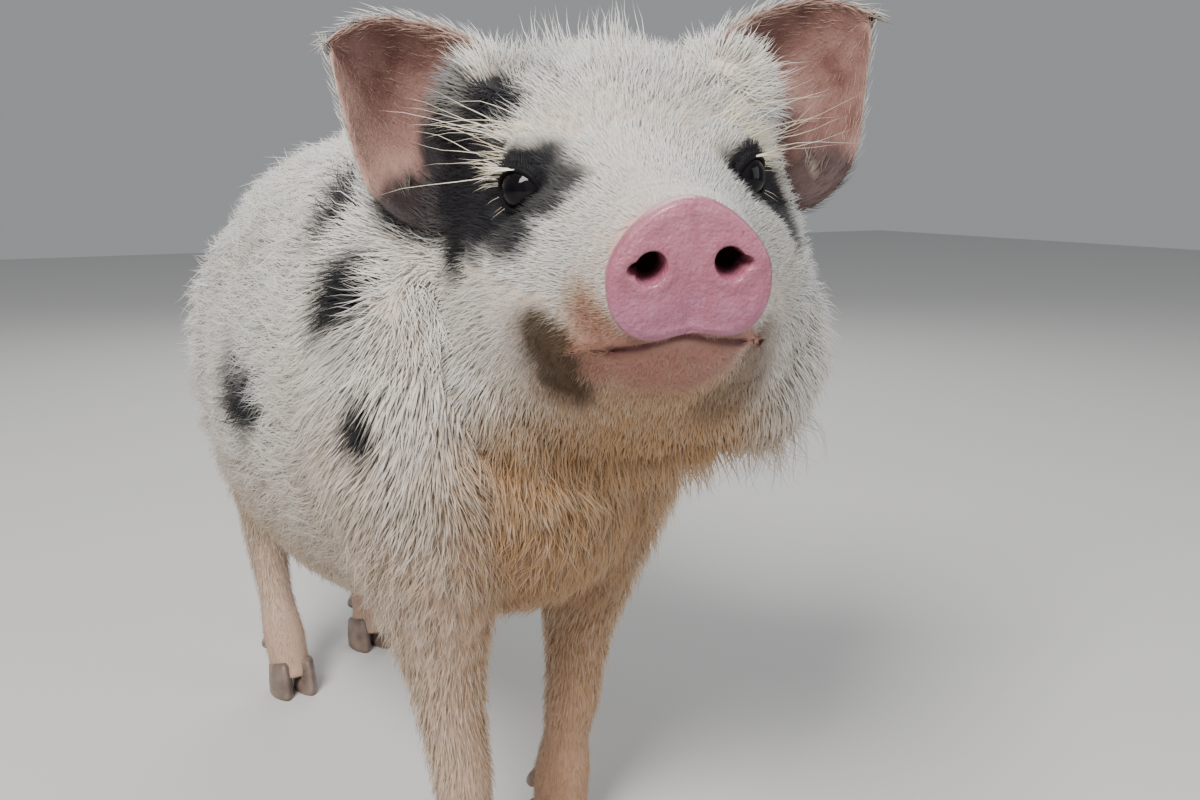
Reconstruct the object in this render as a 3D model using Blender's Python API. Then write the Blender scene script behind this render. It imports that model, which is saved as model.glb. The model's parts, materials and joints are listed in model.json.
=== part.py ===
# A young miniature pig, life size, standing with its head raised and turned to its right.
# Metres, +Z up. The pig faces -Y, its left side is +X, and it stands on z = 0.
# The flesh is modelled whole and parted by thin cuts into head, neck, torso and legs.
# The coat is flat, tapered locks that lie back over the body, fused with their own part.

import math
import random

import bmesh
import bpy
import numpy as np
from mathutils import Matrix, Vector
from mathutils.bvhtree import BVHTree

# Fit
GAP = 0.0003
CENTRING = Vector((-0.0238, 0.0401, 0.0))

# Flesh
VOXEL = 0.0027
SMOOTH_ROUNDS = 7
FLESH_TRIANGLES = 4400
FACE_TRIANGLES = 1500
FACE_SHARE = 0.174
FACE_FROM = -0.025
FACE_LOWEST = -0.10
RING_POINTS = 28
ROWS_BETWEEN = 3

# Head frame: origin midway between the eyes, F forward, L to its left, U up
EYE_MIDDLE = Vector((0.0112, -0.2055, 0.295))
HEAD_YAW = math.radians(22.5)
HEAD_PITCH = math.radians(13.0)
HEAD_ROLL = math.radians(3.3)

# F, half width, U where it is widest, top U, bottom U, roundness of the upper half
HEAD_ROWS = (
    (0.0860, 0.0200, -0.006, 0.0140, -0.0210, 2.2),
    (0.0820, 0.0212, -0.006, 0.0158, -0.0235, 2.2),
    (0.0760, 0.0230, -0.008, 0.0163, -0.0350, 2.2),
    (0.0660, 0.0262, -0.011, 0.0162, -0.0450, 2.2),
    (0.0540, 0.0310, -0.017, 0.0158, -0.0535, 2.1),
    (0.0400, 0.0380, -0.024, 0.0155, -0.0650, 2.0),
    (0.0240, 0.0475, -0.032, 0.0160, -0.0810, 1.95),
    (0.0080, 0.0570, -0.042, 0.0185, -0.0970, 1.9),
    (-0.0100, 0.0640, -0.048, 0.0235, -0.1090, 1.95),
    (-0.0300, 0.0675, -0.050, 0.0290, -0.1150, 2.15),
    (-0.0500, 0.0660, -0.048, 0.0330, -0.1150, 2.4),
    (-0.0700, 0.0610, -0.042, 0.0340, -0.1090, 2.5),
    (-0.0900, 0.0500, -0.036, 0.0270, -0.0950, 2.4),
    (-0.1060, 0.0300, -0.028, 0.0100, -0.0650, 2.1),
    (-0.1130, 0.0100, -0.026, -0.0120, -0.0400, 2.0),
)
JOWL_ROUNDNESS = 2.5

# Trunk: y, half width, z where it is widest, top z, bottom z
TRUNK_ROWS = (
    (-0.180, 0.010, 0.200, 0.216, 0.184),
    (-0.172, 0.028, 0.202, 0.240, 0.160),
    (-0.158, 0.051, 0.203, 0.266, 0.140),
    (-0.138, 0.065, 0.203, 0.290, 0.126),
    (-0.110, 0.072, 0.203, 0.312, 0.118),
    (-0.070, 0.074, 0.200, 0.320, 0.106),
    (-0.020, 0.075, 0.192, 0.318, 0.093),
    (0.030, 0.077, 0.186, 0.313, 0.086),
    (0.078, 0.075, 0.187, 0.309, 0.090),
    (0.118, 0.067, 0.199, 0.303, 0.110),
    (0.150, 0.055, 0.215, 0.291, 0.143),
    (0.172, 0.040, 0.230, 0.277, 0.180),
    (0.185, 0.019, 0.240, 0.261, 0.212),
)
SPINE_BEND = 0.010
SPINE_BEND_FROM = -0.08
SPINE_BEND_LENGTH = 0.26

# Neck: x, y, z, radius
NECK_PATH = (
    (0.037, -0.148, 0.268, 0.062),
    (0.024, -0.126, 0.250, 0.066),
    (0.010, -0.100, 0.233, 0.068),
    (0.000, -0.070, 0.222, 0.068),
)

# Fore leg above the hoof: z, y shift, half width, half depth
FORE_ROWS = (
    (0.010, 0.0000, 0.0125, 0.0140),
    (0.020, 0.0005, 0.0120, 0.0130),
    (0.033, 0.0020, 0.0125, 0.0140),
    (0.050, 0.0020, 0.0112, 0.0122),
    (0.068, 0.0000, 0.0132, 0.0140),
    (0.086, 0.0010, 0.0135, 0.0148),
    (0.106, 0.0020, 0.0155, 0.0190),
    (0.130, 0.0030, 0.0210, 0.0275),
    (0.158, 0.0020, 0.0270, 0.0360),
    (0.192, 0.0000, 0.0305, 0.0435),
    (0.225, 0.0000, 0.0270, 0.0400),
    (0.250, 0.0000, 0.0160, 0.0240),
)
FORE_TOP = 0.20

# Hind leg above the hoof: z, y shift, half width, half depth
HIND_ROWS = (
    (0.010, 0.0000, 0.0120, 0.0135),
    (0.020, 0.0020, 0.0115, 0.0125),
    (0.033, 0.0070, 0.0120, 0.0135),
    (0.052, 0.0160, 0.0110, 0.0120),
    (0.072, 0.0240, 0.0120, 0.0145),
    (0.088, 0.0260, 0.0130, 0.0175),
    (0.104, 0.0200, 0.0150, 0.0210),
    (0.128, 0.0060, 0.0210, 0.0310),
    (0.160, -0.0060, 0.0285, 0.0440),
    (0.198, -0.0080, 0.0320, 0.0530),
    (0.235, -0.0040, 0.0270, 0.0440),
    (0.258, 0.0000, 0.0150, 0.0260),
)
HIND_TOP = 0.20

# Each leg: rows, foot x and y, hip or shoulder x and y, height of that joint
LEGS = {
    "foreleg_right": (FORE_ROWS, (-0.028, -0.160), (-0.041, -0.130), FORE_TOP),
    "foreleg_left": (FORE_ROWS, (0.032, -0.106), (0.046, -0.126), FORE_TOP),
    "hindleg_right": (HIND_ROWS, (-0.029, 0.110), (-0.037, 0.118), HIND_TOP),
    "hindleg_left": (HIND_ROWS, (0.033, 0.154), (0.049, 0.124), HIND_TOP),
}
LEG_CUT_HEIGHT = {"foreleg": 0.118, "hindleg": 0.126}
LEG_CUT_SLOPE = 0.75

ZONE_GROWTH = 0.0085
ZONE_POINTS = 16

# Cuts: head from neck behind the poll and under the jaw in (F, U), neck from torso in (y, z)
POLL_CUT_POINT = (-0.085, 0.030)
POLL_CUT_NORMAL = (0.932, 0.364)
JAW_CUT_POINT = (-0.030, -0.1165)
JAW_CUT_NORMAL = (-0.10, 0.995)
NECK_CUT_POINT = (-0.075, 0.320)
NECK_CUT_NORMAL = (-0.857, 0.514)

# Eyes
EYE_PLACE = (-0.003, 0.0345, 0.000)
EYE_RADIUS = 0.0098
LID_RADIUS = 0.0112
GAZE_OUT = math.radians(47.0)
GAZE_UP = math.radians(5.0)
EYE_OPENING = (0.0080, 0.0062)

# Snout disc
SNOUT_BACK = 0.0845
SNOUT_HALF = (0.0224, 0.0192)
SNOUT_DROP = 0.0020
NOSTRIL_PLACE = (0.0108, 0.0008)
NOSTRIL_HALF = (0.0034, 0.0040)
NOSTRIL_DEPTH = 0.0065

# Mouth line in (F, L, U), from the middle to the left corner
MOUTH_LINE = (
    (0.0800, 0.000, -0.0215),
    (0.0770, 0.012, -0.0235),
    (0.0720, 0.020, -0.0270),
    (0.0620, 0.028, -0.0330),
    (0.0520, 0.033, -0.0385),
    (0.0450, 0.037, -0.0400),
)
MOUTH_OPEN = 0.0011
MOUTH_DEPTH = 0.0035
MOUTH_SMOOTHING = 4
LIP_RADIUS = 0.0032

# Ears: outer edge, middle of the back and upper edge from root to tip, in (F, L, U)
EAR_OUTER = (
    (-0.046, 0.050, -0.022),
    (-0.042, 0.064, -0.029),
    (-0.040, 0.077, -0.025),
    (-0.048, 0.088, -0.004),
    (-0.058, 0.096, 0.022),
    (-0.063, 0.100, 0.037),
)
EAR_BACK = (
    (-0.066, 0.040, 0.000),
    (-0.074, 0.054, 0.003),
    (-0.083, 0.066, 0.008),
    (-0.083, 0.081, 0.018),
    (-0.073, 0.093, 0.032),
    (-0.066, 0.100, 0.040),
)
EAR_UPPER = (
    (-0.066, 0.034, 0.028),
    (-0.074, 0.049, 0.039),
    (-0.080, 0.066, 0.045),
    (-0.078, 0.082, 0.048),
    (-0.070, 0.094, 0.046),
    (-0.066, 0.100, 0.043),
)
EAR_THICKNESS = (0.0042, 0.0018)

# Tail: x, y, z, radius
TAIL_PATH = (
    (0.000, 0.168, 0.268, 0.0085),
    (0.001, 0.186, 0.268, 0.0075),
    (0.003, 0.200, 0.260, 0.0062),
    (0.006, 0.208, 0.242, 0.0052),
    (0.005, 0.211, 0.222, 0.0044),
    (0.001, 0.211, 0.203, 0.0036),
    (-0.004, 0.209, 0.189, 0.0026),
)

# Hooves
HOOF_TOP = 0.0165
HOOF_SLOPE = 0.22
HOOF_HALF = (0.0062, 0.0135)
HOOF_SPREAD = 0.0070
HOOF_POINTS = 10
DEWCLAW_PLACE = (0.0078, 0.0135, 0.0270)
DEWCLAW_LENGTH = 0.0125
DEWCLAW_RADIUS = 0.0042

# Coat: length and half width of a lock, spacing along and across the lie
COAT = {
    "torso": (0.054, 0.0115, 0.042, 0.0245),
    "neck": (0.046, 0.0095, 0.034, 0.0210),
    "head": (0.032, 0.0068, 0.0250, 0.0155),
    "leg": (0.030, 0.0062, 0.030, 0.0180),
}
FRINGE = (0.022, 0.0042)
FRINGE_ROOT = 0.006
FRINGE_LIFT = 0.003
FRINGE_FROM = 3
TUFT = (0.030, 0.0036)
TUFT_LOCKS = 7
TUFT_LIFT = 0.009
LOCK_THICKNESS = 0.0021
LOCK_ROOT_DEPTH = 0.0026
LOCK_TIP_HEIGHT = 0.0052
LOCK_WIDTHS = (0.55, 1.0, 0.72)
LOCK_TRIANGLES = 21
SEAM_THINNING = 0.88
LOCK_CLEARANCE = 0.0007
ROOT_TRIALS = 9000
SKIN_NEAR = 0.0002
SHORTER = (1.0, 0.85, 0.7, 0.55, 0.42)
EYE_BARE = 0.019
MUZZLE_BARE_FROM = 0.040
FACE_BARE_FROM = 0.000
CHEEK_TOP = -0.040
LEG_BARE_BELOW = 0.045
SEED = 11

COLOURS = {
    "coat": ((0.80, 0.77, 0.71, 1.0), 0.8),
    "skin": ((0.80, 0.56, 0.49, 1.0), 0.6),
    "snout": ((0.80, 0.36, 0.38, 1.0), 0.35),
    "eye": ((0.015, 0.010, 0.010, 1.0), 0.08),
    "horn": ((0.20, 0.16, 0.13, 1.0), 0.5),
}


def head_axes():
    forward_flat = Vector((-math.sin(HEAD_YAW), -math.cos(HEAD_YAW), 0))
    left_flat = Vector((math.cos(HEAD_YAW), -math.sin(HEAD_YAW), 0))
    straight_up = Vector((0, 0, 1))
    forward = forward_flat * math.cos(HEAD_PITCH) - straight_up * math.sin(HEAD_PITCH)
    up_level = forward_flat * math.sin(HEAD_PITCH) + straight_up * math.cos(HEAD_PITCH)
    left = left_flat * math.cos(HEAD_ROLL) + up_level * math.sin(HEAD_ROLL)
    up = up_level * math.cos(HEAD_ROLL) - left_flat * math.sin(HEAD_ROLL)
    return forward, left, up


FORWARD, LEFT, UP = head_axes()


def in_head(forward, left, up):
    return EYE_MIDDLE + FORWARD * forward + LEFT * left + UP * up


def head_place(point):
    offset = point - EYE_MIDDLE
    return offset.dot(FORWARD), offset.dot(LEFT), offset.dot(UP)


def fill_in(rows, steps=ROWS_BETWEEN):
    # Rows on a smooth curve through the given ones
    rows = np.array(rows, float)
    padded = np.vstack([2 * rows[0] - rows[1], rows, 2 * rows[-1] - rows[-2]])
    filled = []
    for index in range(1, len(padded) - 2):
        before, start, end, after = padded[index - 1:index + 3]
        for step in range(steps):
            t = step / steps
            line = 2 * start + (end - before) * t
            bend = (2 * before - 5 * start + 4 * end - after) * t ** 2
            turn = (3 * start - before - 3 * end + after) * t ** 3
            filled.append(0.5 * (line + bend + turn))
    filled.append(rows[-1])
    return filled


def oval(middle, side, rise, half_width, top, bottom, power=(2.0, 2.0), count=RING_POINTS):
    # Superellipse ring: half_width to each side, top above the middle, bottom below it
    points = []
    for step in range(count):
        turn = math.tau * step / count
        across, height = math.cos(turn), math.sin(turn)
        roundness = power[0] if height > 0 else power[1]
        across = math.copysign(abs(across) ** (2 / roundness), across) * half_width
        reach = top if height > 0 else bottom
        height = math.copysign(abs(height) ** (2 / roundness), height) * reach
        points.append(middle + side * across + rise * height)
    return points


def skin_rings(rings, name="form"):
    # Closed tube through rings of equally many points, with its ends filled
    mesh = bmesh.new()
    loops = [[mesh.verts.new(point) for point in ring] for ring in rings]
    count = len(loops[0])
    for near, far in zip(loops, loops[1:]):
        for step in range(count):
            after = (step + 1) % count
            mesh.faces.new((near[step], near[after], far[after], far[step]))
    for loop in (loops[0], loops[-1]):
        middle = mesh.verts.new(sum((vert.co for vert in loop), Vector()) / count)
        for step in range(count):
            mesh.faces.new((loop[step], loop[(step + 1) % count], middle))
    bmesh.ops.recalc_face_normals(mesh, faces=mesh.faces)
    return new_object(mesh, name)


def new_object(mesh, name):
    bmesh.ops.triangulate(mesh, faces=mesh.faces)
    if mesh.calc_volume(signed=True) < 0:
        bmesh.ops.reverse_faces(mesh, faces=mesh.faces)
    data = bpy.data.meshes.new(name)
    mesh.to_mesh(data)
    mesh.free()
    made = bpy.data.objects.new(name, data)
    bpy.context.scene.collection.objects.link(made)
    return made


def remove(*objects):
    for item in objects:
        data = item.data
        bpy.data.objects.remove(item)
        if data.users == 0:
            bpy.data.meshes.remove(data)


def copy_of(item, name):
    twin = bpy.data.objects.new(name, item.data.copy())
    bpy.context.scene.collection.objects.link(twin)
    return twin


def apply_modifiers(item):
    graph = bpy.context.evaluated_depsgraph_get()
    made = bpy.data.meshes.new_from_object(item.evaluated_get(graph))
    old = item.data
    item.modifiers.clear()
    item.data = made
    if old.users == 0:
        bpy.data.meshes.remove(old)


def combine(item, other, operation, solver="MANIFOLD"):
    modifier = item.modifiers.new("combine", "BOOLEAN")
    modifier.operation = operation
    modifier.solver = solver
    modifier.object = other
    apply_modifiers(item)
    remove(other)


def tidy(item):
    # Keeps only the largest closed surface, in triangles
    mesh = bmesh.new()
    mesh.from_mesh(item.data)
    bmesh.ops.triangulate(mesh, faces=mesh.faces)
    unseen = set(mesh.verts)
    shells = []
    while unseen:
        stack = [unseen.pop()]
        shell = set(stack)
        while stack:
            for edge in stack.pop().link_edges:
                for vert in edge.verts:
                    if vert in unseen:
                        unseen.discard(vert)
                        shell.add(vert)
                        stack.append(vert)
        shells.append(shell)
    shells.sort(key=shell_span, reverse=True)
    spare = [vert for shell in shells[1:] for vert in shell]
    if spare:
        bmesh.ops.delete(mesh, geom=spare, context="VERTS")
    mesh.to_mesh(item.data)
    mesh.free()
    return len(shells) - 1


def shell_span(shell):
    # Box volume of a set of points
    low = [min(vert.co[axis] for vert in shell) for axis in range(3)]
    high = [max(vert.co[axis] for vert in shell) for axis in range(3)]
    return (high[0] - low[0]) * (high[1] - low[1]) * (high[2] - low[2])


def slice_off(item, point, normal):
    # Removes what lies on the normal's side of a plane and closes the cut
    mesh = bmesh.new()
    mesh.from_mesh(item.data)
    geometry = mesh.verts[:] + mesh.edges[:] + mesh.faces[:]
    bmesh.ops.bisect_plane(mesh, geom=geometry, plane_co=point, plane_no=normal, clear_outer=True)
    rim = [edge for edge in mesh.edges if edge.is_boundary]
    filled = bmesh.ops.triangle_fill(mesh, edges=rim, use_beauty=True, normal=normal)
    bmesh.ops.recalc_face_normals(mesh, faces=mesh.faces)
    bmesh.ops.triangulate(mesh, faces=mesh.faces)
    mesh.to_mesh(item.data)
    mesh.free()
    return filled


def grown(item, distance, name="grown"):
    # Copy whose surface stands off by distance
    twin = copy_of(item, name)
    mesh = bmesh.new()
    mesh.from_mesh(twin.data)
    mesh.normal_update()
    shifts = [vert.normal.copy() * distance for vert in mesh.verts]
    for vert, shift in zip(mesh.verts, shifts):
        vert.co += shift
    mesh.to_mesh(twin.data)
    mesh.free()
    return twin


def ellipsoid(middle, axes, radii, name="form", segments=20, rings=12):
    mesh = bmesh.new()
    bmesh.ops.create_uvsphere(mesh, u_segments=segments, v_segments=rings, radius=1.0)
    turn = Matrix([axis * radius for axis, radius in zip(axes, radii)]).transposed()
    for vert in mesh.verts:
        vert.co = middle + turn @ vert.co
    return new_object(mesh, name)


def tube(path, radii, name="form", count=12, flat=1.0):
    # Round or oval tube along points
    points = [Vector(point) for point in path]
    rings = []
    side = None
    for index, point in enumerate(points):
        ahead = points[min(index + 1, len(points) - 1)]
        behind = points[max(index - 1, 0)]
        along = (ahead - behind).normalized()
        if side is None:
            side = along.orthogonal().normalized()
        side = (side - along * side.dot(along)).normalized()
        rise = along.cross(side)
        radius = radii[index]
        rings.append(oval(point, side, rise, radius, radius * flat, radius * flat, count=count))
    return skin_rings(rings, name)


def joined(objects, name):
    mesh = bmesh.new()
    for item in objects:
        mesh.from_mesh(item.data)
    remove(*objects)
    data = bpy.data.meshes.new(name)
    mesh.to_mesh(data)
    mesh.free()
    made = bpy.data.objects.new(name, data)
    bpy.context.scene.collection.objects.link(made)
    return made


def leg_section(name, height):
    # Middle, half width and half depth of a leg at a height
    rows, foot, hip, top = LEGS[name]
    heights = [row[0] for row in rows]
    shift, half_width, half_depth = (np.interp(height, heights, [row[column] for row in rows])
                                     for column in (1, 2, 3))
    lean = min(1.0, height / top)
    x = foot[0] + (hip[0] - foot[0]) * lean
    y = foot[1] + (hip[1] - foot[1]) * lean + shift
    return Vector((x, y, height)), half_width, half_depth


def leg_rings(name, growth=0.0, steps=2, count=20):
    rings = []
    for row in fill_in(LEGS[name][0], steps):
        middle, half_width, half_depth = leg_section(name, row[0])
        depth = half_depth + growth
        rings.append(oval(middle, Vector((1, 0, 0)), Vector((0, 1, 0)), half_width + growth,
                          depth, depth, count=count))
    return rings


def head_form(growth=0.0, steps=ROWS_BETWEEN, count=RING_POINTS):
    rings = []
    for forward, half_width, widest, top, bottom, power in fill_in(HEAD_ROWS, steps):
        rings.append(oval(in_head(forward, 0, widest), LEFT, UP, half_width + growth,
                          top - widest + growth, widest - bottom + growth,
                          (power, JOWL_ROUNDNESS), count))
    return skin_rings(rings)


def spine_x(y):
    # The back half bends a little to the left
    return SPINE_BEND * min(1.0, max(0.0, (y - SPINE_BEND_FROM) / SPINE_BEND_LENGTH))


def trunk_form():
    rings = []
    for y, half_width, widest, top, bottom in fill_in(TRUNK_ROWS):
        middle = Vector((spine_x(y), y, widest))
        rings.append(oval(middle, Vector((1, 0, 0)), Vector((0, 0, 1)),
                          half_width, top - widest, widest - bottom, (2.15, 2.1)))
    return skin_rings(rings)


def mouth_points(side_steps=3):
    half = fill_in(MOUTH_LINE, side_steps)
    left = [in_head(*row) for row in half]
    right = [in_head(row[0], -row[1], row[2]) for row in half[1:]]
    return right[::-1] + left


def muscle_forms():
    # Brows, ear roots, cheeks, shoulders, hams and lips that swell the lofted forms
    forms = []
    head_frame = (FORWARD, LEFT, UP)
    body_frame = (Vector((1, 0, 0)), Vector((0, 1, 0)), Vector((0, 0, 1)))
    for side in (-1, 1):
        forms.append(ellipsoid(in_head(-0.014, side * 0.031, 0.0090), head_frame,
                               (0.022, 0.013, 0.0085)))
        forms.append(ellipsoid(in_head(-0.064, side * 0.043, 0.014), head_frame,
                               (0.020, 0.020, 0.022)))
        forms.append(ellipsoid(in_head(-0.022, side * 0.043, -0.066), head_frame,
                               (0.038, 0.028, 0.040)))
        forms.append(ellipsoid(Vector((side * 0.043, -0.124, 0.205)), body_frame,
                               (0.030, 0.047, 0.064)))
        forms.append(ellipsoid(Vector((spine_x(0.12) + side * 0.042, 0.120, 0.203)), body_frame,
                               (0.032, 0.052, 0.064)))
    lips = mouth_points()
    forms.append(tube(lips, [LIP_RADIUS] * len(lips), count=10))
    return forms


def whole_flesh():
    neck = fill_in(NECK_PATH)
    forms = [head_form(), trunk_form(), tube([row[:3] for row in neck],
                                             [row[3] for row in neck], count=24)]
    forms += [skin_rings(leg_rings(name)) for name in LEGS]
    forms += muscle_forms()
    flesh = joined(forms, "flesh")
    remesh = flesh.modifiers.new("blend", "REMESH")
    remesh.mode = "VOXEL"
    remesh.voxel_size = VOXEL
    apply_modifiers(flesh)
    smooth = flesh.modifiers.new("smooth", "SMOOTH")
    smooth.factor = 0.5
    smooth.iterations = SMOOTH_ROUNDS
    apply_modifiers(flesh)
    thin_out(flesh)
    return flesh


def thin_to(flesh, triangles, group=""):
    count = sum(len(face.vertices) - 2 for face in flesh.data.polygons)
    decimate = flesh.modifiers.new("thin", "DECIMATE")
    decimate.ratio = triangles / count
    decimate.vertex_group = group
    decimate.use_collapse_triangulate = True
    apply_modifiers(flesh)


def thin_out(flesh):
    # Fewer triangles all over, then fewer still everywhere but on the face
    thin_to(flesh, FACE_TRIANGLES / FACE_SHARE)
    group = flesh.vertex_groups.new(name="body")
    for vert in flesh.data.vertices:
        forward, _, up = head_place(vert.co)
        face = forward > FACE_FROM and up > FACE_LOWEST
        group.add([vert.index], 0.0 if face else 1.0, "REPLACE")
    thin_to(flesh, FLESH_TRIANGLES, group.name)
    flesh.vertex_groups.clear()


def head_planes(growth=0.0):
    # Cuts behind the poll and under the jaw, normals into the head, moved out by growth
    planes = []
    for spot, slope in ((POLL_CUT_POINT, POLL_CUT_NORMAL), (JAW_CUT_POINT, JAW_CUT_NORMAL)):
        normal = (FORWARD * slope[0] + UP * slope[1]).normalized()
        planes.append((in_head(spot[0], 0, spot[1]) - normal * growth, normal))
    return planes


def head_zone(growth=0.0):
    # The head's own form, larger, between the cuts
    zone = head_form(ZONE_GROWTH + growth, 1, ZONE_POINTS)
    zone.data.transform(Matrix.Translation(FORWARD * ZONE_GROWTH / 2))
    for point, normal in head_planes(growth):
        slice_off(zone, point, -normal)
    return zone


def neck_plane():
    point = Vector((0, NECK_CUT_POINT[0], NECK_CUT_POINT[1]))
    normal = Vector((0, NECK_CUT_NORMAL[0], NECK_CUT_NORMAL[1])).normalized()
    return point, normal


def leg_plane(name):
    kind, side = name.split("_")
    outward = 1 if side == "left" else -1
    point = Vector((0, 0, LEG_CUT_HEIGHT[kind]))
    normal = Vector((-outward * LEG_CUT_SLOPE, 0, 1)).normalized()
    return point, normal


def leg_zone(name, growth):
    # The leg's own form, larger, below a plane that rises outwards
    zone = skin_rings(leg_rings(name, ZONE_GROWTH + growth, 1, ZONE_POINTS))
    point, normal = leg_plane(name)
    slice_off(zone, point + normal * growth, normal)
    return zone


def part_flesh(flesh):
    nodes = {}
    point, normal = neck_plane()
    head = copy_of(flesh, "head")
    combine(head, head_zone(), "INTERSECT")
    nodes["head"] = head
    neck = copy_of(flesh, "neck")
    slice_off(neck, point + normal * GAP / 2, -normal)
    combine(neck, head_zone(GAP), "DIFFERENCE")
    nodes["neck"] = neck
    torso = copy_of(flesh, "torso")
    slice_off(torso, point - normal * GAP / 2, normal)
    combine(torso, head_zone(GAP), "DIFFERENCE")
    nodes["torso"] = torso
    for name in LEGS:
        leg = copy_of(torso, name)
        combine(leg, leg_zone(name, 0.0), "INTERSECT")
        nodes[name] = leg
    for name in LEGS:
        combine(torso, leg_zone(name, GAP), "DIFFERENCE")
    for item in nodes.values():
        tidy(item)
    remove(flesh)
    return nodes


def gaze(side):
    level = FORWARD * math.cos(GAZE_OUT) + LEFT * side * math.sin(GAZE_OUT)
    return (level * math.cos(GAZE_UP) + UP * math.sin(GAZE_UP)).normalized()


def eye_middle(side):
    return in_head(EYE_PLACE[0], side * EYE_PLACE[1], EYE_PLACE[2])


def eye_axes(side):
    # Gaze, along the opening of the lids, and across it
    out = gaze(side)
    slant = (UP + FORWARD * -0.15).normalized()
    along = slant.cross(out).normalized()
    across = out.cross(along).normalized()
    return out, along, across


def eye_ball(side, radius, name="form"):
    out, along, across = eye_axes(side)
    return ellipsoid(eye_middle(side), (along, across, out), (radius,) * 3, name, 14, 8)


def carve_eye(head, side):
    # Socket, lids round the ball, the room for the ball, and the almond between the lids
    out, along, across = eye_axes(side)
    middle = eye_middle(side)
    socket = ellipsoid(middle + out * 0.0145, (along, across, out), (0.0135, 0.0105, 0.0090),
                       segments=12, rings=8)
    combine(head, socket, "DIFFERENCE", "MANIFOLD")
    lids = ellipsoid(middle, (along, across, out), (LID_RADIUS,) * 3, segments=14, rings=8)
    combine(head, lids, "UNION", "MANIFOLD")
    combine(head, eye_ball(side, EYE_RADIUS + GAP), "DIFFERENCE", "MANIFOLD")
    rings = []
    for reach, size in ((0.0040, 0.60), (0.0080, 0.95), (0.0180, 1.9)):
        rings.append(almond(middle + out * reach, along, across, size))
    combine(head, skin_rings(rings), "DIFFERENCE", "MANIFOLD")


def almond(middle, along, across, size, count=14):
    points = []
    for step in range(count):
        turn = math.tau * step / count
        reach = math.cos(turn) * EYE_OPENING[0] * size
        height = math.sin(turn) * (abs(math.sin(turn)) ** 0.25) * EYE_OPENING[1] * size
        points.append(middle + along * reach + across * height)
    return points


def carve_mouth(head):
    # A wedge swept along the line between the lips
    tree = tree_of(head)
    points = mouth_points()
    found = [tree.find_nearest(point)[:2] for point in points]
    places, normals = [list(values) for values in zip(*found)]
    for _ in range(MOUTH_SMOOTHING):
        for values in (places, normals):
            evened = [(a + b * 2 + c) / 4 for a, b, c in zip(values, values[1:], values[2:])]
            values[1:-1] = evened
    rings = []
    for index, place in enumerate(places):
        ahead = places[min(index + 1, len(points) - 1)]
        behind = places[max(index - 1, 0)]
        along = (ahead - behind).normalized()
        normal = normals[index]
        normal = (normal - along * normal.dot(along)).normalized()
        across = normal.cross(along)
        end = min(index, len(points) - 1 - index)
        size = min(1.0, 0.25 + end * 0.15)
        outer = place + normal * 0.0040
        wide = across * MOUTH_OPEN * (1.0 + 4.0 * 0.35) * size
        deep = place - normal * MOUTH_DEPTH * size
        narrow = across * MOUTH_OPEN * 0.35 * size
        rings.append([outer + wide, outer - wide, deep - narrow, deep + narrow])
    combine(head, skin_rings(rings), "DIFFERENCE", "MANIFOLD")


def tree_of(item):
    mesh = bmesh.new()
    mesh.from_mesh(item.data)
    tree = BVHTree.FromBMesh(mesh)
    mesh.free()
    return tree


def snout_outline(scale, forward, count=20):
    # Egg shape, narrower above, its lower edge drawn up in the middle
    points = []
    for step in range(count):
        turn = math.tau * step / count
        across, height = math.cos(turn), math.sin(turn)
        half_width = SNOUT_HALF[0] * (1.0 - 0.13 * max(0.0, height))
        half_height = SNOUT_HALF[1]
        if height < 0:
            half_height -= 0.0022 * math.exp(-(across / 0.28) ** 2)
        points.append(in_head(forward, across * half_width * scale,
                              height * half_height * scale - SNOUT_DROP))
    return points


def snout_disc():
    rings = [snout_outline(scale, SNOUT_BACK + reach) for scale, reach in
             ((0.92, 0.0), (1.0, 0.0040), (0.965, 0.0080), (0.86, 0.0096))]
    disc = skin_rings(rings, "snout")
    for side in (-1, 1):
        holes = []
        for reach, size in ((0.0125, 1.35), (0.0090, 1.0), (0.0090 - NOSTRIL_DEPTH, 0.62)):
            middle = in_head(SNOUT_BACK + reach, side * NOSTRIL_PLACE[0], NOSTRIL_PLACE[1])
            holes.append(oval(middle, LEFT, UP, NOSTRIL_HALF[0] * size, NOSTRIL_HALF[1] * size,
                              NOSTRIL_HALF[1] * size, count=10))
        combine(disc, skin_rings(holes), "DIFFERENCE")
        slit = ellipsoid(in_head(SNOUT_BACK + 0.0098, side * (NOSTRIL_PLACE[0] + 0.0042),
                                 NOSTRIL_PLACE[1] - 0.0010),
                         (FORWARD, LEFT, UP), (0.0024, 0.0032, 0.0012), segments=8, rings=6)
        combine(disc, slit, "DIFFERENCE")
    tidy(disc)
    return disc


def ear_grid(side, across_steps=5, along_steps=2):
    # Points over the cupped ear, row by row from root to tip
    edges = [fill_in(edge, along_steps) for edge in (EAR_OUTER, EAR_BACK, EAR_UPPER)]
    grid = []
    for outer, back, upper in zip(*edges):
        row = []
        for step in range(across_steps + 1):
            t = step / across_steps
            bend = 2 * back - (outer + upper) / 2
            spot = outer * (1 - t) ** 2 + bend * 2 * t * (1 - t) + upper * t ** 2
            row.append(in_head(spot[0], side * spot[1], spot[2]))
        grid.append(row)
    return grid


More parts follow.
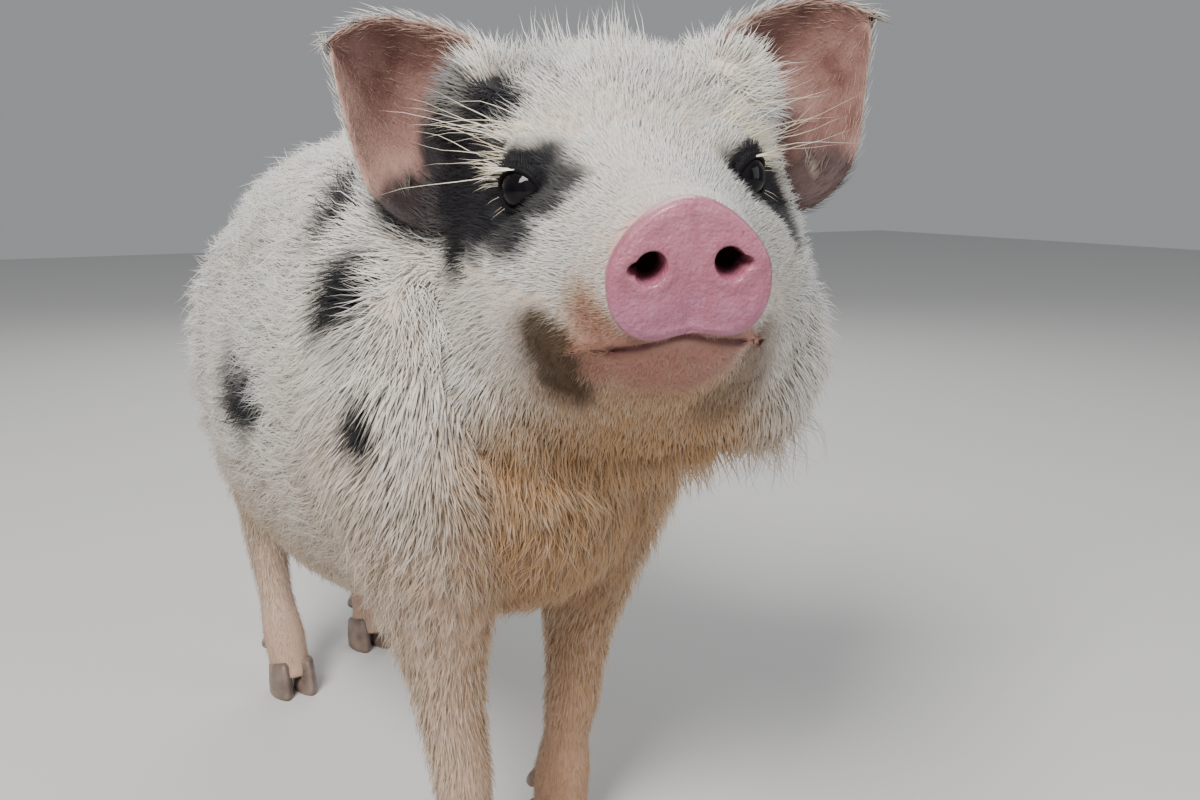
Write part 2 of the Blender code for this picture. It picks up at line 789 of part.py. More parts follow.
def shell_of(grid, thickness, name):
    # Closed shell round a grid of points, thinner towards its last row and its edges
    rows, columns = len(grid), len(grid[0])
    mesh = bmesh.new()
    faces = {}
    for face_side in (1, -1):
        for r in range(rows):
            for c in range(columns):
                along = grid[min(r + 1, rows - 1)][c] - grid[max(r - 1, 0)][c]
                across = grid[r][min(c + 1, columns - 1)] - grid[r][max(c - 1, 0)]
                normal = along.cross(across).normalized()
                reach = r / (rows - 1)
                edge = 1.0 - 0.45 * abs(2 * c / (columns - 1) - 1) ** 3
                half = 0.5 * (thickness[0] + (thickness[1] - thickness[0]) * reach) * edge
                faces[face_side, r, c] = mesh.verts.new(grid[r][c] + normal * half * face_side)
    for face_side in (1, -1):
        for r in range(rows - 1):
            for c in range(columns - 1):
                mesh.faces.new([faces[face_side, r + i, c + j]
                                for i, j in ((0, 0), (0, 1), (1, 1), (1, 0))])
    rim = [(0, c) for c in range(columns)] + [(r, columns - 1) for r in range(1, rows)]
    rim += [(rows - 1, c) for c in range(columns - 2, -1, -1)]
    rim += [(r, 0) for r in range(rows - 2, 0, -1)]
    for spot, after in zip(rim, rim[1:] + rim[:1]):
        mesh.faces.new((faces[(1, *spot)], faces[(1, *after)], faces[(-1, *after)],
                        faces[(-1, *spot)]))
    bmesh.ops.recalc_face_normals(mesh, faces=mesh.faces)
    return new_object(mesh, name)


def hoof(leg_name, toe_side, name):
    # One toe: flat sole, sloping wall, its top on the slanted line of the coat
    _, foot, _, _ = LEGS[leg_name]
    rings = []
    for level, size, push in ((0.0, 1.0, -0.0016), (0.35, 0.99, -0.0008), (0.7, 0.93, 0.0),
                              (1.0, 0.84, 0.0008)):
        ring = []
        for step in range(HOOF_POINTS):
            turn = math.tau * step / HOOF_POINTS
            across = math.cos(turn) * HOOF_HALF[0] * size
            depth = math.sin(turn) * HOOF_HALF[1] * size
            pointed = 1.0 - 0.28 * max(0.0, -math.sin(turn)) ** 2
            x = foot[0] + toe_side * HOOF_SPREAD + across * pointed
            y = foot[1] + push + depth - 0.001
            top = HOOF_TOP - HOOF_SLOPE * (y - foot[1]) - GAP
            ring.append(Vector((x, y, top * level)))
        rings.append(ring)
    return skin_rings(rings, name)


def dewclaw(leg_name, toe_side, around, name):
    rows, foot, hip, top = LEGS[leg_name]
    lean = DEWCLAW_PLACE[2] / top
    shift = np.interp(DEWCLAW_PLACE[2], [row[0] for row in rows], [row[1] for row in rows])
    start = Vector((foot[0] + (hip[0] - foot[0]) * lean + toe_side * DEWCLAW_PLACE[0] * 0.6,
                    foot[1] + (hip[1] - foot[1]) * lean + shift + DEWCLAW_PLACE[1] * 0.55,
                    DEWCLAW_PLACE[2] + 0.003))
    along = Vector((toe_side * 0.35, 0.62, -0.70)).normalized()
    path = [start + along * DEWCLAW_LENGTH * t for t in (0.0, 0.6, 0.95)]
    claw = tube(path, [DEWCLAW_RADIUS * f for f in (0.95, 0.9, 0.45)], name, count=7)
    combine(claw, copy_of(around, "cutter"), "DIFFERENCE")
    tidy(claw)
    return claw


def lie(point, part):
    # Direction in which the coat lies
    if part == "head":
        forward, left, up = head_place(point)
        side = math.copysign(1.0, left)
        spread = min(1.0, abs(left) / 0.045)
        low = min(1.0, max(0.0, (-up - 0.01) / 0.05))
        flow = -FORWARD * (1.0 - 0.35 * low) + LEFT * side * 0.45 * spread * (1 - low)
        return (flow - UP * (0.15 + 0.75 * low)).normalized()
    if part == "leg":
        return Vector((0, 0.18, -1)).normalized()
    front = min(1.0, max(0.0, (-0.105 - point.y) / 0.05))
    low = min(1.0, max(0.0, (0.27 - point.z) / 0.10))
    rump = min(1.0, max(0.0, (point.y - 0.12) / 0.06))
    down = 0.12 + 0.38 * low + 0.9 * front * low + 0.7 * rump
    return Vector((0, 1.0 - 0.6 * front * low, -down)).normalized()


def lock_path(tree, start, part, length, swerve):
    # Points, normals and directions of a lock along the surface
    steps = len(LOCK_WIDTHS)
    place, normal, _, _ = tree.find_nearest(start)
    found = []
    for step in range(steps + 1):
        flow = lie(place, part)
        side = normal.cross(flow).normalized()
        flow = (flow + side * swerve * (0.4 + step / steps)).normalized()
        flow = (flow - normal * flow.dot(normal)).normalized()
        found.append((place.copy(), normal.copy(), flow))
        place, normal, _, _ = tree.find_nearest(place + flow * length / steps)
    return found


def lock_from(path, half_width, tip_height, root_depth=LOCK_ROOT_DEPTH):
    # Closed flat tapered lock, ridged above and flat below, its root sunk and its tip free
    rings = []
    last = len(path) - 1
    for step, (place, normal, flow) in enumerate(path):
        t = step / last
        height = -root_depth + (tip_height + root_depth) * (1 - (1 - t) ** 1.8)
        middle = place + normal * height
        if step == last:
            tip = middle
            break
        side = normal.cross(flow).normalized() * half_width * LOCK_WIDTHS[step]
        rise = normal * LOCK_THICKNESS * (1.0 - 0.4 * t)
        rings.append([middle + side, middle + rise, middle - side])
    mesh = bmesh.new()
    loops = [[mesh.verts.new(point) for point in ring] for ring in rings]
    for near, far in zip(loops, loops[1:]):
        for step in range(3):
            after = (step + 1) % 3
            mesh.faces.new((near[step], near[after], far[after], far[step]))
    point = mesh.verts.new(tip)
    for step in range(3):
        mesh.faces.new((loops[-1][step], loops[-1][(step + 1) % 3], point))
    mesh.faces.new(loops[0][::-1])
    bmesh.ops.recalc_face_normals(mesh, faces=mesh.faces)
    return new_object(mesh, "lock")


def surface_points(item, count, draw):
    # Evenly likely points over the surface
    data = item.data
    data.calc_loop_triangles()
    areas = [triangle.area for triangle in data.loop_triangles]
    chosen = draw.choices(range(len(areas)), weights=areas, k=count)
    points = []
    for index in chosen:
        corners = [data.vertices[v].co for v in data.loop_triangles[index].vertices]
        a, b = draw.random(), draw.random()
        if a + b > 1:
            a, b = 1 - a, 1 - b
        points.append(corners[0] + (corners[1] - corners[0]) * a + (corners[2] - corners[0]) * b)
    return points


def grow_locks(item, part, skin, others, may_root, may_cover, seed):
    # Locks spread evenly over a part, clear of the other parts
    length, half_width, along_gap, across_gap = COAT[part]
    draw = random.Random(seed)
    roots = []
    locks = []
    for point in surface_points(item, ROOT_TRIALS, draw):
        place = skin.find_nearest(point)
        if place[3] > SKIN_NEAR or not may_root(point):
            continue
        flow = lie(point, part)
        if any(too_near(point - root, flow, along_gap, across_gap) for root in roots):
            continue
        swerve = draw.uniform(-0.28, 0.28)
        size = draw.uniform(0.88, 1.12)
        lift = LOCK_TIP_HEIGHT * draw.uniform(0.8, 1.2) * min(1.0, length / 0.03)
        for shorter in SHORTER:
            path = lock_path(skin, point, part, length * size * shorter, swerve)
            if folded(path, length * size * shorter):
                continue
            if not all(may_cover(spot) for spot, _, _ in path):
                continue
            wide = half_width * size * (0.4 + 0.6 * shorter)
            lock = lock_from(path, wide, lift)
            probe = grown(lock, LOCK_CLEARANCE)
            tree = tree_of(probe)
            remove(probe)
            if not crosses_itself(lock, tree) and not any(tree.overlap(other) for other in others):
                roots.append(point)
                locks.append(lock)
                break
            remove(lock)
    return locks


def folded(path, length):
    # Whether a path bunches up or turns sharply
    step = length / (len(path) - 1)
    for (place, normal, flow), (after, next_normal, next_flow) in zip(path, path[1:]):
        if (after - place).length < 0.6 * step:
            return True
        if normal.dot(next_normal) < 0.75 or flow.dot(next_flow) < 0.6:
            return True
    return False


def crosses_itself(item, tree):
    corners = [set(face.vertices) for face in item.data.polygons]
    return any(not corners[one] & corners[other] for one, other in tree.overlap(tree))


def too_near(offset, flow, along_gap, across_gap):
    run = offset.dot(flow)
    aside = (offset - flow * run).length
    return (run / along_gap) ** 2 + (aside / across_gap) ** 2 < 1


def fuse(item, pieces):
    # One union of a part with all its pieces
    if not pieces:
        return
    plain = len(item.data.polygons)
    group = bpy.data.collections.new("pieces")
    bpy.context.scene.collection.children.link(group)
    for piece in pieces:
        bpy.context.scene.collection.objects.unlink(piece)
        group.objects.link(piece)
    modifier = item.modifiers.new("fuse", "BOOLEAN")
    modifier.operation = "UNION"
    modifier.operand_type = "COLLECTION"
    modifier.collection = group
    modifier.solver = "MANIFOLD"
    apply_modifiers(item)
    remove(*pieces)
    bpy.data.collections.remove(group)
    tidy(item)
    full = len(item.data.polygons)
    kept = int(plain * SEAM_THINNING) + LOCK_TRIANGLES * len(pieces)
    if kept < full:
        thin_to(item, kept)
    print(item.name, "locks", len(pieces), "triangles", plain, full, len(item.data.polygons))


def ear_fringe(grid):
    # Locks along both edges of an ear, swept out and towards its tip
    locks = []
    last_column = len(grid[0]) - 1
    for column, inner in ((0, 1), (last_column, last_column - 1)):
        for row in range(FRINGE_FROM, len(grid) - 1, 1 + column // last_column):
            edge = grid[row][column]
            outward = (edge - grid[row][inner]).normalized()
            along = (grid[row + 1][column] - grid[row - 1][column]).normalized()
            normal = along.cross(outward).normalized()
            flow = (outward * 0.42 + along * 0.90).normalized()
            start = edge - flow * FRINGE_ROOT
            steps = len(LOCK_WIDTHS)
            path = []
            for step in range(steps + 1):
                t = step / steps
                droop = along * -0.18 * t
                way = (flow + droop).normalized()
                path.append((start + way * FRINGE[0] * t, normal, way))
            locks.append(lock_from(path, FRINGE[1], FRINGE_LIFT, 0.0006))
    return locks


def tail_tuft():
    # Locks round the end of the tail, hanging from it
    root = Vector(TAIL_PATH[-3][:3])
    end = Vector(TAIL_PATH[-1][:3])
    down = (end - root).normalized()
    locks = []
    for number in range(TUFT_LOCKS):
        turn = math.tau * number / TUFT_LOCKS
        side = down.orthogonal().normalized()
        out = side * math.cos(turn) + down.cross(side) * math.sin(turn)
        start = root + (end - root) * (0.2 + 0.5 * (number % 2))
        path = []
        for step in range(len(LOCK_WIDTHS) + 1):
            t = step / len(LOCK_WIDTHS)
            path.append((start + down * TUFT[0] * t, out, down))
        locks.append(lock_from(path, TUFT[1], TUFT_LIFT, -0.0004))
    return locks


def add_coat(nodes, skin):
    eyes = [eye_middle(side) for side in (-1, 1)]

    def anywhere(point):
        return True

    def on_face(point):
        forward, _, up = head_place(point)
        bare = forward > MUZZLE_BARE_FROM or (forward > FACE_BARE_FROM and up > CHEEK_TOP)
        return not bare and clear_of_eyes(point)

    def clear_of_eyes(point):
        return min((point - eye).length for eye in eyes) > EYE_BARE

    def on_leg(point):
        return point.z > LEG_BARE_BELOW

    rules = {"torso": (anywhere, anywhere), "neck": (anywhere, anywhere),
             "head": (on_face, clear_of_eyes), "leg": (on_leg, on_leg)}
    for number, name in enumerate(["torso", "head", "neck", *LEGS]):
        part = "leg" if name in LEGS else name
        others = [tree_of(item) for label, item in nodes.items() if label != name]
        locks = grow_locks(nodes[name], part, skin, others, *rules[part], SEED + number)
        fuse(nodes[name], locks)


def add_material(item, kind):
    material = bpy.data.materials.get(kind)
    if material is None:
        material = bpy.data.materials.new(kind)
        material.use_nodes = True
        colour, roughness = COLOURS[kind]
        shader = material.node_tree.nodes["Principled BSDF"]
        shader.inputs["Base Color"].default_value = colour
        shader.inputs["Roughness"].default_value = roughness
        shader.inputs["Metallic"].default_value = 0.0
        material.diffuse_color = colour
    item.data.materials.clear()
    item.data.materials.append(material)


def foot_plane(foot):
    point = Vector((foot[0], foot[1], HOOF_TOP))
    normal = Vector((0, HOOF_SLOPE, 1)).normalized()
    return point, normal


def build():
    for item in list(bpy.data.objects):
        bpy.data.objects.remove(item)
    flesh = whole_flesh()
    around = grown(flesh, GAP)
    skin = tree_of(flesh)
    nodes = part_flesh(flesh)

    head = nodes["head"]
    slice_off(head, in_head(SNOUT_BACK - GAP, 0, 0), FORWARD)
    carve_mouth(head)
    for side in (-1, 1):
        carve_eye(head, side)
    tidy(head)

    kinds = {name: "coat" for name in nodes}
    ears = []
    for side, name in ((-1, "ear_right"), (1, "ear_left")):
        grid = ear_grid(side)
        ear = shell_of(grid, EAR_THICKNESS, name)
        fuse(ear, ear_fringe(grid))
        combine(ear, copy_of(around, "cutter"), "DIFFERENCE")
        tidy(ear)
        ears.append(ear)
        nodes[name] = ear
        kinds[name] = "skin"
        nodes["eye" + name[3:]] = eye_ball(side, EYE_RADIUS, "eye" + name[3:])
        kinds["eye" + name[3:]] = "eye"
    nodes["snout"] = snout_disc()
    kinds["snout"] = "snout"

    tail = fill_in(TAIL_PATH, 2)
    tail = tube([row[:3] for row in tail], [row[3] for row in tail], "tail", count=10)
    fuse(tail, tail_tuft())
    combine(tail, copy_of(around, "cutter"), "DIFFERENCE")
    tidy(tail)
    nodes["tail"] = tail
    kinds["tail"] = "coat"

    for leg_name in LEGS:
        point, normal = foot_plane(LEGS[leg_name][1])
        slice_off(nodes[leg_name], point, -normal)
        for toe_side, toe in ((-1, "a"), (1, "b")):
            label = leg_name.replace("leg", "hoof") + "_" + toe
            nodes[label] = hoof(leg_name, toe_side, label)
            kinds[label] = "horn"
            label = leg_name.replace("leg", "dewclaw") + "_" + toe
            nodes[label] = dewclaw(leg_name, toe_side, around, label)
            kinds[label] = "horn"
    remove(around)

    add_coat(nodes, skin)

    for name, item in nodes.items():
        item.name = name
        item.data.name = name
        item.data.transform(Matrix.Translation(CENTRING))
        item.data.shade_smooth()
        item.data.set_sharp_from_angle(angle=math.radians(40))
        add_material(item, kinds[name])
    print("triangles", sum(len(item.data.polygons) for item in nodes.values()))


build()
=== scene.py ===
# Looks of the young miniature pig: skin, coat, snout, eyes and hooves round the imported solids.
# Metres, +Z up. The pig faces -Y, its left side is +X, and it stands on z = 0.

import json
import math
import random

import bmesh
import bpy
import numpy as np
from mathutils import Matrix, Vector, noise
from mathutils.kdtree import KDTree

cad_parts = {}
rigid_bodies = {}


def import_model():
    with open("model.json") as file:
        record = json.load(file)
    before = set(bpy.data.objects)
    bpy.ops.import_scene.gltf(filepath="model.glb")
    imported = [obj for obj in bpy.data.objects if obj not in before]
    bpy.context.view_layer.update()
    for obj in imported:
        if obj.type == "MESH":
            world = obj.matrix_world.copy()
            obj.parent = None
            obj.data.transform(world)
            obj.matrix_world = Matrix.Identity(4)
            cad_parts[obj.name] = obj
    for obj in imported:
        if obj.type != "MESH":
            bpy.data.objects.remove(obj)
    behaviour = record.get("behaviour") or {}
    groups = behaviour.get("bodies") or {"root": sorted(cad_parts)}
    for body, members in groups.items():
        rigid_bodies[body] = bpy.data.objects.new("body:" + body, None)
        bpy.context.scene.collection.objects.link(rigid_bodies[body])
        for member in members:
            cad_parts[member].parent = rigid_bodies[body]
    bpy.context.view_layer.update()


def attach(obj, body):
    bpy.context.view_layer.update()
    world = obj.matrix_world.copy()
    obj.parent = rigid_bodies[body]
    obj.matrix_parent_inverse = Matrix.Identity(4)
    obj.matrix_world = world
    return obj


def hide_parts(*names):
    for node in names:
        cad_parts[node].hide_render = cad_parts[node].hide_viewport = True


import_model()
noise.seed_set(3)  # else the vector noise changes from run to run

# Body plan, as in the part's source, before the shift that centres it
centring = Vector((-0.0238, 0.0401, 0.0))
xAxis, yAxis, zAxis = Vector((1, 0, 0)), Vector((0, 1, 0)), Vector((0, 0, 1))
sides = ((-1, "Right"), (1, "Left"))
eyeOrigin = Vector((0.0112, -0.2055, 0.295))
headTurn = {"yaw": math.radians(22.5), "pitch": math.radians(13.0), "roll": math.radians(3.3)}

# F, half width, U where it is widest, top U, bottom U, roundness of the upper half
headRows = (
    (0.0860, 0.0200, -0.006, 0.0140, -0.0210, 2.2),
    (0.0820, 0.0212, -0.006, 0.0158, -0.0235, 2.2),
    (0.0760, 0.0230, -0.008, 0.0163, -0.0350, 2.2),
    (0.0660, 0.0262, -0.011, 0.0162, -0.0450, 2.2),
    (0.0540, 0.0310, -0.017, 0.0158, -0.0535, 2.1),
    (0.0400, 0.0380, -0.024, 0.0155, -0.0650, 2.0),
    (0.0240, 0.0475, -0.032, 0.0160, -0.0810, 1.95),
    (0.0080, 0.0570, -0.042, 0.0185, -0.0970, 1.9),
    (-0.0100, 0.0640, -0.048, 0.0235, -0.1090, 1.95),
    (-0.0300, 0.0675, -0.050, 0.0290, -0.1150, 2.15),
    (-0.0500, 0.0660, -0.048, 0.0330, -0.1150, 2.4),
    (-0.0700, 0.0610, -0.042, 0.0340, -0.1090, 2.5),
    (-0.0900, 0.0500, -0.036, 0.0270, -0.0950, 2.4),
    (-0.1060, 0.0300, -0.028, 0.0100, -0.0650, 2.1),
    (-0.1130, 0.0100, -0.026, -0.0120, -0.0400, 2.0),
)
jowlRoundness = 2.5

# y, half width, z where it is widest, top z, bottom z
trunkRows = (
    (-0.180, 0.010, 0.200, 0.216, 0.184),
    (-0.172, 0.028, 0.202, 0.240, 0.160),
    (-0.158, 0.051, 0.203, 0.266, 0.140),
    (-0.138, 0.065, 0.203, 0.290, 0.126),
    (-0.110, 0.072, 0.203, 0.312, 0.118),
    (-0.070, 0.074, 0.200, 0.320, 0.106),
    (-0.020, 0.075, 0.192, 0.318, 0.093),
    (0.030, 0.077, 0.186, 0.313, 0.086),
    (0.078, 0.075, 0.187, 0.309, 0.090),
    (0.118, 0.067, 0.199, 0.303, 0.110),
    (0.150, 0.055, 0.215, 0.291, 0.143),
    (0.172, 0.040, 0.230, 0.277, 0.180),
    (0.185, 0.019, 0.240, 0.261, 0.212),
)

trunkRoundness = (2.15, 2.1)

# x, y, z, radius
neckPath = (
    (0.037, -0.148, 0.268, 0.062),
    (0.024, -0.126, 0.250, 0.066),
    (0.010, -0.100, 0.233, 0.068),
    (0.000, -0.070, 0.222, 0.068),
)

# z, y shift, half width, half depth
foreRows = (
    (0.010, 0.0000, 0.0125, 0.0140),
    (0.020, 0.0005, 0.0120, 0.0130),
    (0.033, 0.0020, 0.0125, 0.0140),
    (0.050, 0.0020, 0.0112, 0.0122),
    (0.068, 0.0000, 0.0132, 0.0140),
    (0.086, 0.0010, 0.0135, 0.0148),
    (0.106, 0.0020, 0.0155, 0.0190),
    (0.130, 0.0030, 0.0210, 0.0275),
    (0.158, 0.0020, 0.0270, 0.0360),
    (0.192, 0.0000, 0.0305, 0.0435),
    (0.225, 0.0000, 0.0270, 0.0400),
    (0.250, 0.0000, 0.0160, 0.0240),
)
hindRows = (
    (0.010, 0.0000, 0.0120, 0.0135),
    (0.020, 0.0020, 0.0115, 0.0125),
    (0.033, 0.0070, 0.0120, 0.0135),
    (0.052, 0.0160, 0.0110, 0.0120),
    (0.072, 0.0240, 0.0120, 0.0145),
    (0.088, 0.0260, 0.0130, 0.0175),
    (0.104, 0.0200, 0.0150, 0.0210),
    (0.128, 0.0060, 0.0210, 0.0310),
    (0.160, -0.0060, 0.0285, 0.0440),
    (0.198, -0.0080, 0.0320, 0.0530),
    (0.235, -0.0040, 0.0270, 0.0440),
    (0.258, 0.0000, 0.0150, 0.0260),
)
jointHeight = 0.20

# Rows, foot x and y, hip or shoulder x and y
legs = {
    "foreleg_right": (foreRows, (-0.028, -0.160), (-0.041, -0.130)),
    "foreleg_left": (foreRows, (0.032, -0.106), (0.046, -0.126)),
    "hindleg_right": (hindRows, (-0.029, 0.110), (-0.037, 0.118)),
    "hindleg_left": (hindRows, (0.033, 0.154), (0.049, 0.124)),
}

# From the middle to the left corner, in (F, L, U)
mouthLine = (
    (0.0843, 0.0000, -0.0213),
    (0.0812, 0.0103, -0.0246),
    (0.0746, 0.0200, -0.0288),
    (0.0642, 0.0270, -0.0338),
    (0.0540, 0.0315, -0.0386),
    (0.0450, 0.0350, -0.0415),
)

# Ear edges and the middle of its back from root to tip, in (F, L, U)
earOuter = (
    (-0.046, 0.050, -0.022),
    (-0.042, 0.064, -0.0245),
    (-0.042, 0.079, -0.0195),
    (-0.049, 0.0915, -0.0065),
    (-0.058, 0.0975, 0.019),
    (-0.063, 0.100, 0.037),
)
earBack = (
    (-0.066, 0.040, 0.000),
    (-0.074, 0.054, 0.003),
    (-0.083, 0.066, 0.008),
    (-0.083, 0.081, 0.018),
    (-0.073, 0.093, 0.032),
    (-0.066, 0.100, 0.040),
)
earUpper = (
    (-0.066, 0.034, 0.028),
    (-0.074, 0.049, 0.039),
    (-0.080, 0.066, 0.045),
    (-0.078, 0.082, 0.048),
    (-0.070, 0.094, 0.046),
    (-0.066, 0.100, 0.043),
)

tailPath = (
    (0.000, 0.168, 0.268, 0.0085),
    (0.001, 0.186, 0.268, 0.0075),
    (0.003, 0.200, 0.260, 0.0062),
    (0.006, 0.208, 0.242, 0.0052),
    (0.005, 0.211, 0.222, 0.0044),
    (0.001, 0.211, 0.203, 0.0036),
    (-0.004, 0.209, 0.189, 0.0026),
)


def headAxes():
    yaw, pitch, roll = headTurn["yaw"], headTurn["pitch"], headTurn["roll"]
    forwardFlat = Vector((-math.sin(yaw), -math.cos(yaw), 0))
    leftFlat = Vector((math.cos(yaw), -math.sin(yaw), 0))
    forward = forwardFlat * math.cos(pitch) - zAxis * math.sin(pitch)
    upLevel = forwardFlat * math.sin(pitch) + zAxis * math.cos(pitch)
    left = leftFlat * math.cos(roll) + upLevel * math.sin(roll)
    up = upLevel * math.cos(roll) - leftFlat * math.sin(roll)
    return forward, left, up


forwardAxis, leftAxis, upAxis = headAxes()
headMatrix = np.array([forwardAxis, leftAxis, upAxis])


def inHead(forward, left, up):
    return eyeOrigin + forwardAxis * forward + leftAxis * left + upAxis * up


def headPlaces(points):
    # The other way round: points as rows of (F, L, U)
    return (points - np.array(eyeOrigin)) @ headMatrix.T


def smooth(value, low, high):
    # 0 up to low, 1 from high on, and an S-curve between them
    t = np.clip((value - low) / (high - low), 0, 1)
    return t * t * (3 - 2 * t)


def fillIn(rows, steps=3):
    # Rows on a smooth curve through the given ones
    rows = np.array(rows, float)
    padded = np.vstack([2 * rows[0] - rows[1], rows, 2 * rows[-1] - rows[-2]])
    filled = []
    for index in range(1, len(padded) - 2):
        before, start, end, after = padded[index - 1:index + 3]
        for step in range(steps):
            t = step / steps
            line = 2 * start + (end - before) * t
            bend = (2 * before - 5 * start + 4 * end - after) * t ** 2
            turn = (3 * start - before - 3 * end + after) * t ** 3
            filled.append(0.5 * (line + bend + turn))
    filled.append(rows[-1])
    return filled


def oval(middle, side, rise, halfWidth, top, bottom, power=(2.0, 2.0), count=36):
    # Closed ring of points, with its own height and roundness above and below the middle
    points = []
    for step in range(count):
        turn = math.tau * step / count
        across, height = math.cos(turn), math.sin(turn)
        roundness = power[0] if height > 0 else power[1]
        across = math.copysign(abs(across) ** (2 / roundness), across) * halfWidth
        reach = top if height > 0 else bottom
        height = math.copysign(abs(height) ** (2 / roundness), height) * reach
        points.append(middle + side * across + rise * height)
    return points


def faceOut(mesh):
    # Turns the faces of a closed mesh outwards
    bmesh.ops.recalc_face_normals(mesh, faces=mesh.faces)
    if mesh.calc_volume(signed=True) < 0:
        bmesh.ops.reverse_faces(mesh, faces=mesh.faces)
    return mesh


def tubeMesh(rings):
    # Closed surface through rings of equally many points
    mesh = bmesh.new()
    loops = [[mesh.verts.new(point) for point in ring] for ring in rings]
    count = len(loops[0])
    for near, far in zip(loops, loops[1:]):
        for step in range(count):
            after = (step + 1) % count
            mesh.faces.new((near[step], near[after], far[after], far[step]))
    for loop in (loops[0], loops[-1]):
        middle = mesh.verts.new(sum((vert.co for vert in loop), Vector()) / count)
        for step in range(count):
            mesh.faces.new((loop[step], loop[(step + 1) % count], middle))
    return faceOut(mesh)


def newObject(name, data):
    made = bpy.data.objects.new(name, data)
    bpy.context.scene.collection.objects.link(made)
    return made


def place(mesh, name):
    # Turns a bmesh into an object of the scene
    data = bpy.data.meshes.new(name)
    mesh.to_mesh(data)
    mesh.free()
    return newObject(name, data)


def remove(*objects):
    for item in objects:
        data = item.data
        bpy.data.objects.remove(item)
        if data.users == 0:
            bpy.data.meshes.remove(data)


def triangles(item):
    return sum(len(face.vertices) - 2 for face in item.data.polygons)


def shadeSmooth(item):
    for face in item.data.polygons:
        face.use_smooth = True


def applyModifiers(item):
    graph = bpy.context.evaluated_depsgraph_get()
    made = bpy.data.meshes.new_from_object(item.evaluated_get(graph))
    old = item.data
    item.modifiers.clear()
    item.data = made
    if old.users == 0:
        bpy.data.meshes.remove(old)


def joined(meshes, name):
    whole = bmesh.new()
    for mesh in meshes:
        data = bpy.data.meshes.new("piece")
        mesh.to_mesh(data)
        mesh.free()
        whole.from_mesh(data)
        bpy.data.meshes.remove(data)
    return place(whole, name)


def ellipsoidMesh(middle, axes, radii, segments=32, rings=20):
    mesh = bmesh.new()
    bmesh.ops.create_uvsphere(mesh, u_segments=segments, v_segments=rings, radius=1.0)
    turn = Matrix([axis * radius for axis, radius in zip(axes, radii)]).transposed()
    for vert in mesh.verts:
        vert.co = middle + turn @ vert.co
    mesh.verts.index_update()
    count = len(mesh.verts)

    def rank(face):
        spots = sorted(vert.index for vert in face.verts)
        return float((spots[0] * count + spots[1]) * count + spots[-1])

    mesh.faces.sort(key=rank)  # the sphere's faces come in another order in each run
    return faceOut(mesh)


def sweep(path, radii, count):
    # Round tube along a path
    points = [Vector(point) for point in path]
    rings = []
    side = None
    for index, point in enumerate(points):
        ahead = points[min(index + 1, len(points) - 1)]
        behind = points[max(index - 1, 0)]
        along = (ahead - behind).normalized()
        if side is None:
            side = along.orthogonal().normalized()
        side = (side - along * side.dot(along)).normalized()
        rise = along.cross(side)
        radius = radii[index]
        rings.append(oval(point, side, rise, radius, radius, radius, count=count))
    return tubeMesh(rings)


def vectorArray(found, name):
    values = np.empty(len(found) * 3, np.float32)
    found.foreach_get(name, values)
    return values.reshape(-1, 3)


def vertexArray(data):
    return vectorArray(data.vertices, "co").astype(float)


def normalArray(data):
    return vectorArray(data.vertex_normals, "vector").astype(float)


def setVertices(data, points):
    data.vertices.foreach_set("co", np.asarray(points, np.float32).ravel())
    data.update()


def spineX(y):
    # The spine bends to the left towards the rump
    return 0.010 * min(1.0, max(0.0, (y + 0.08) / 0.26))


def legSection(name, height):
    # Middle, half width and half depth of a leg at a height
    rows, foot, hip = legs[name]
    heights = [row[0] for row in rows]
    shift, halfWidth, halfDepth = (np.interp(height, heights, [row[column] for row in rows])
                                   for column in (1, 2, 3))
    lean = min(1.0, height / jointHeight)
    x = foot[0] + (hip[0] - foot[0]) * lean
    y = foot[1] + (hip[1] - foot[1]) * lean + shift
    return Vector((x, y, height)), halfWidth, halfDepth


def mouthPoints(steps=8):
    # Mouth line from the right corner to the left one
    right = [(forward, -left, up) for forward, left, up in mouthLine[:0:-1]]
    return [inHead(*row) for row in fillIn((*right, *mouthLine), steps)]


# Skin
skinUse = {
    "voxel": 0.0023,
    "smoothing": 7,
    "coatDepth": 0.0019,
    "bareDepth": 0.0003,
    "earSteps": (18, 5),
    "earThickness": (0.0046, 0.0013),
    "earRidge": 0.0007,
    "fineNearMouth": 0.0055,
    "fineNearEye": 0.018,
    "creaseDepth": 0.0026,
    "creaseWidth": 0.0009,
    "cornerFade": (9, 2.8),
    "lipHeight": 0.0004,
    "lipGap": 0.0026,
    "lipWidth": 0.0014,
    "discSeat": 0.0045,
    "wrinkleHeight": 0.00030,
    "wrinkleTurns": 900,
    "socketDepth": 0.0020,
    "socketAngles": (46, 78),
    "socketReach": 0.022,
}
# Swellings on both sides: middle with its left part as on the pig's left, and radii
headSwellings = {
    "brow": ((-0.014, 0.031, 0.0090), (0.022, 0.013, 0.0085)),
    "earRoot": ((-0.064, 0.043, 0.014), (0.020, 0.020, 0.022)),
    "jowl": ((-0.022, 0.043, -0.066), (0.038, 0.028, 0.040)),
}
bodySwellings = {
    "shoulder": ((0.043, -0.124, 0.205), (0.030, 0.047, 0.064)),
    "ham": ((0.042, 0.120, 0.203), (0.032, 0.052, 0.064)),
}


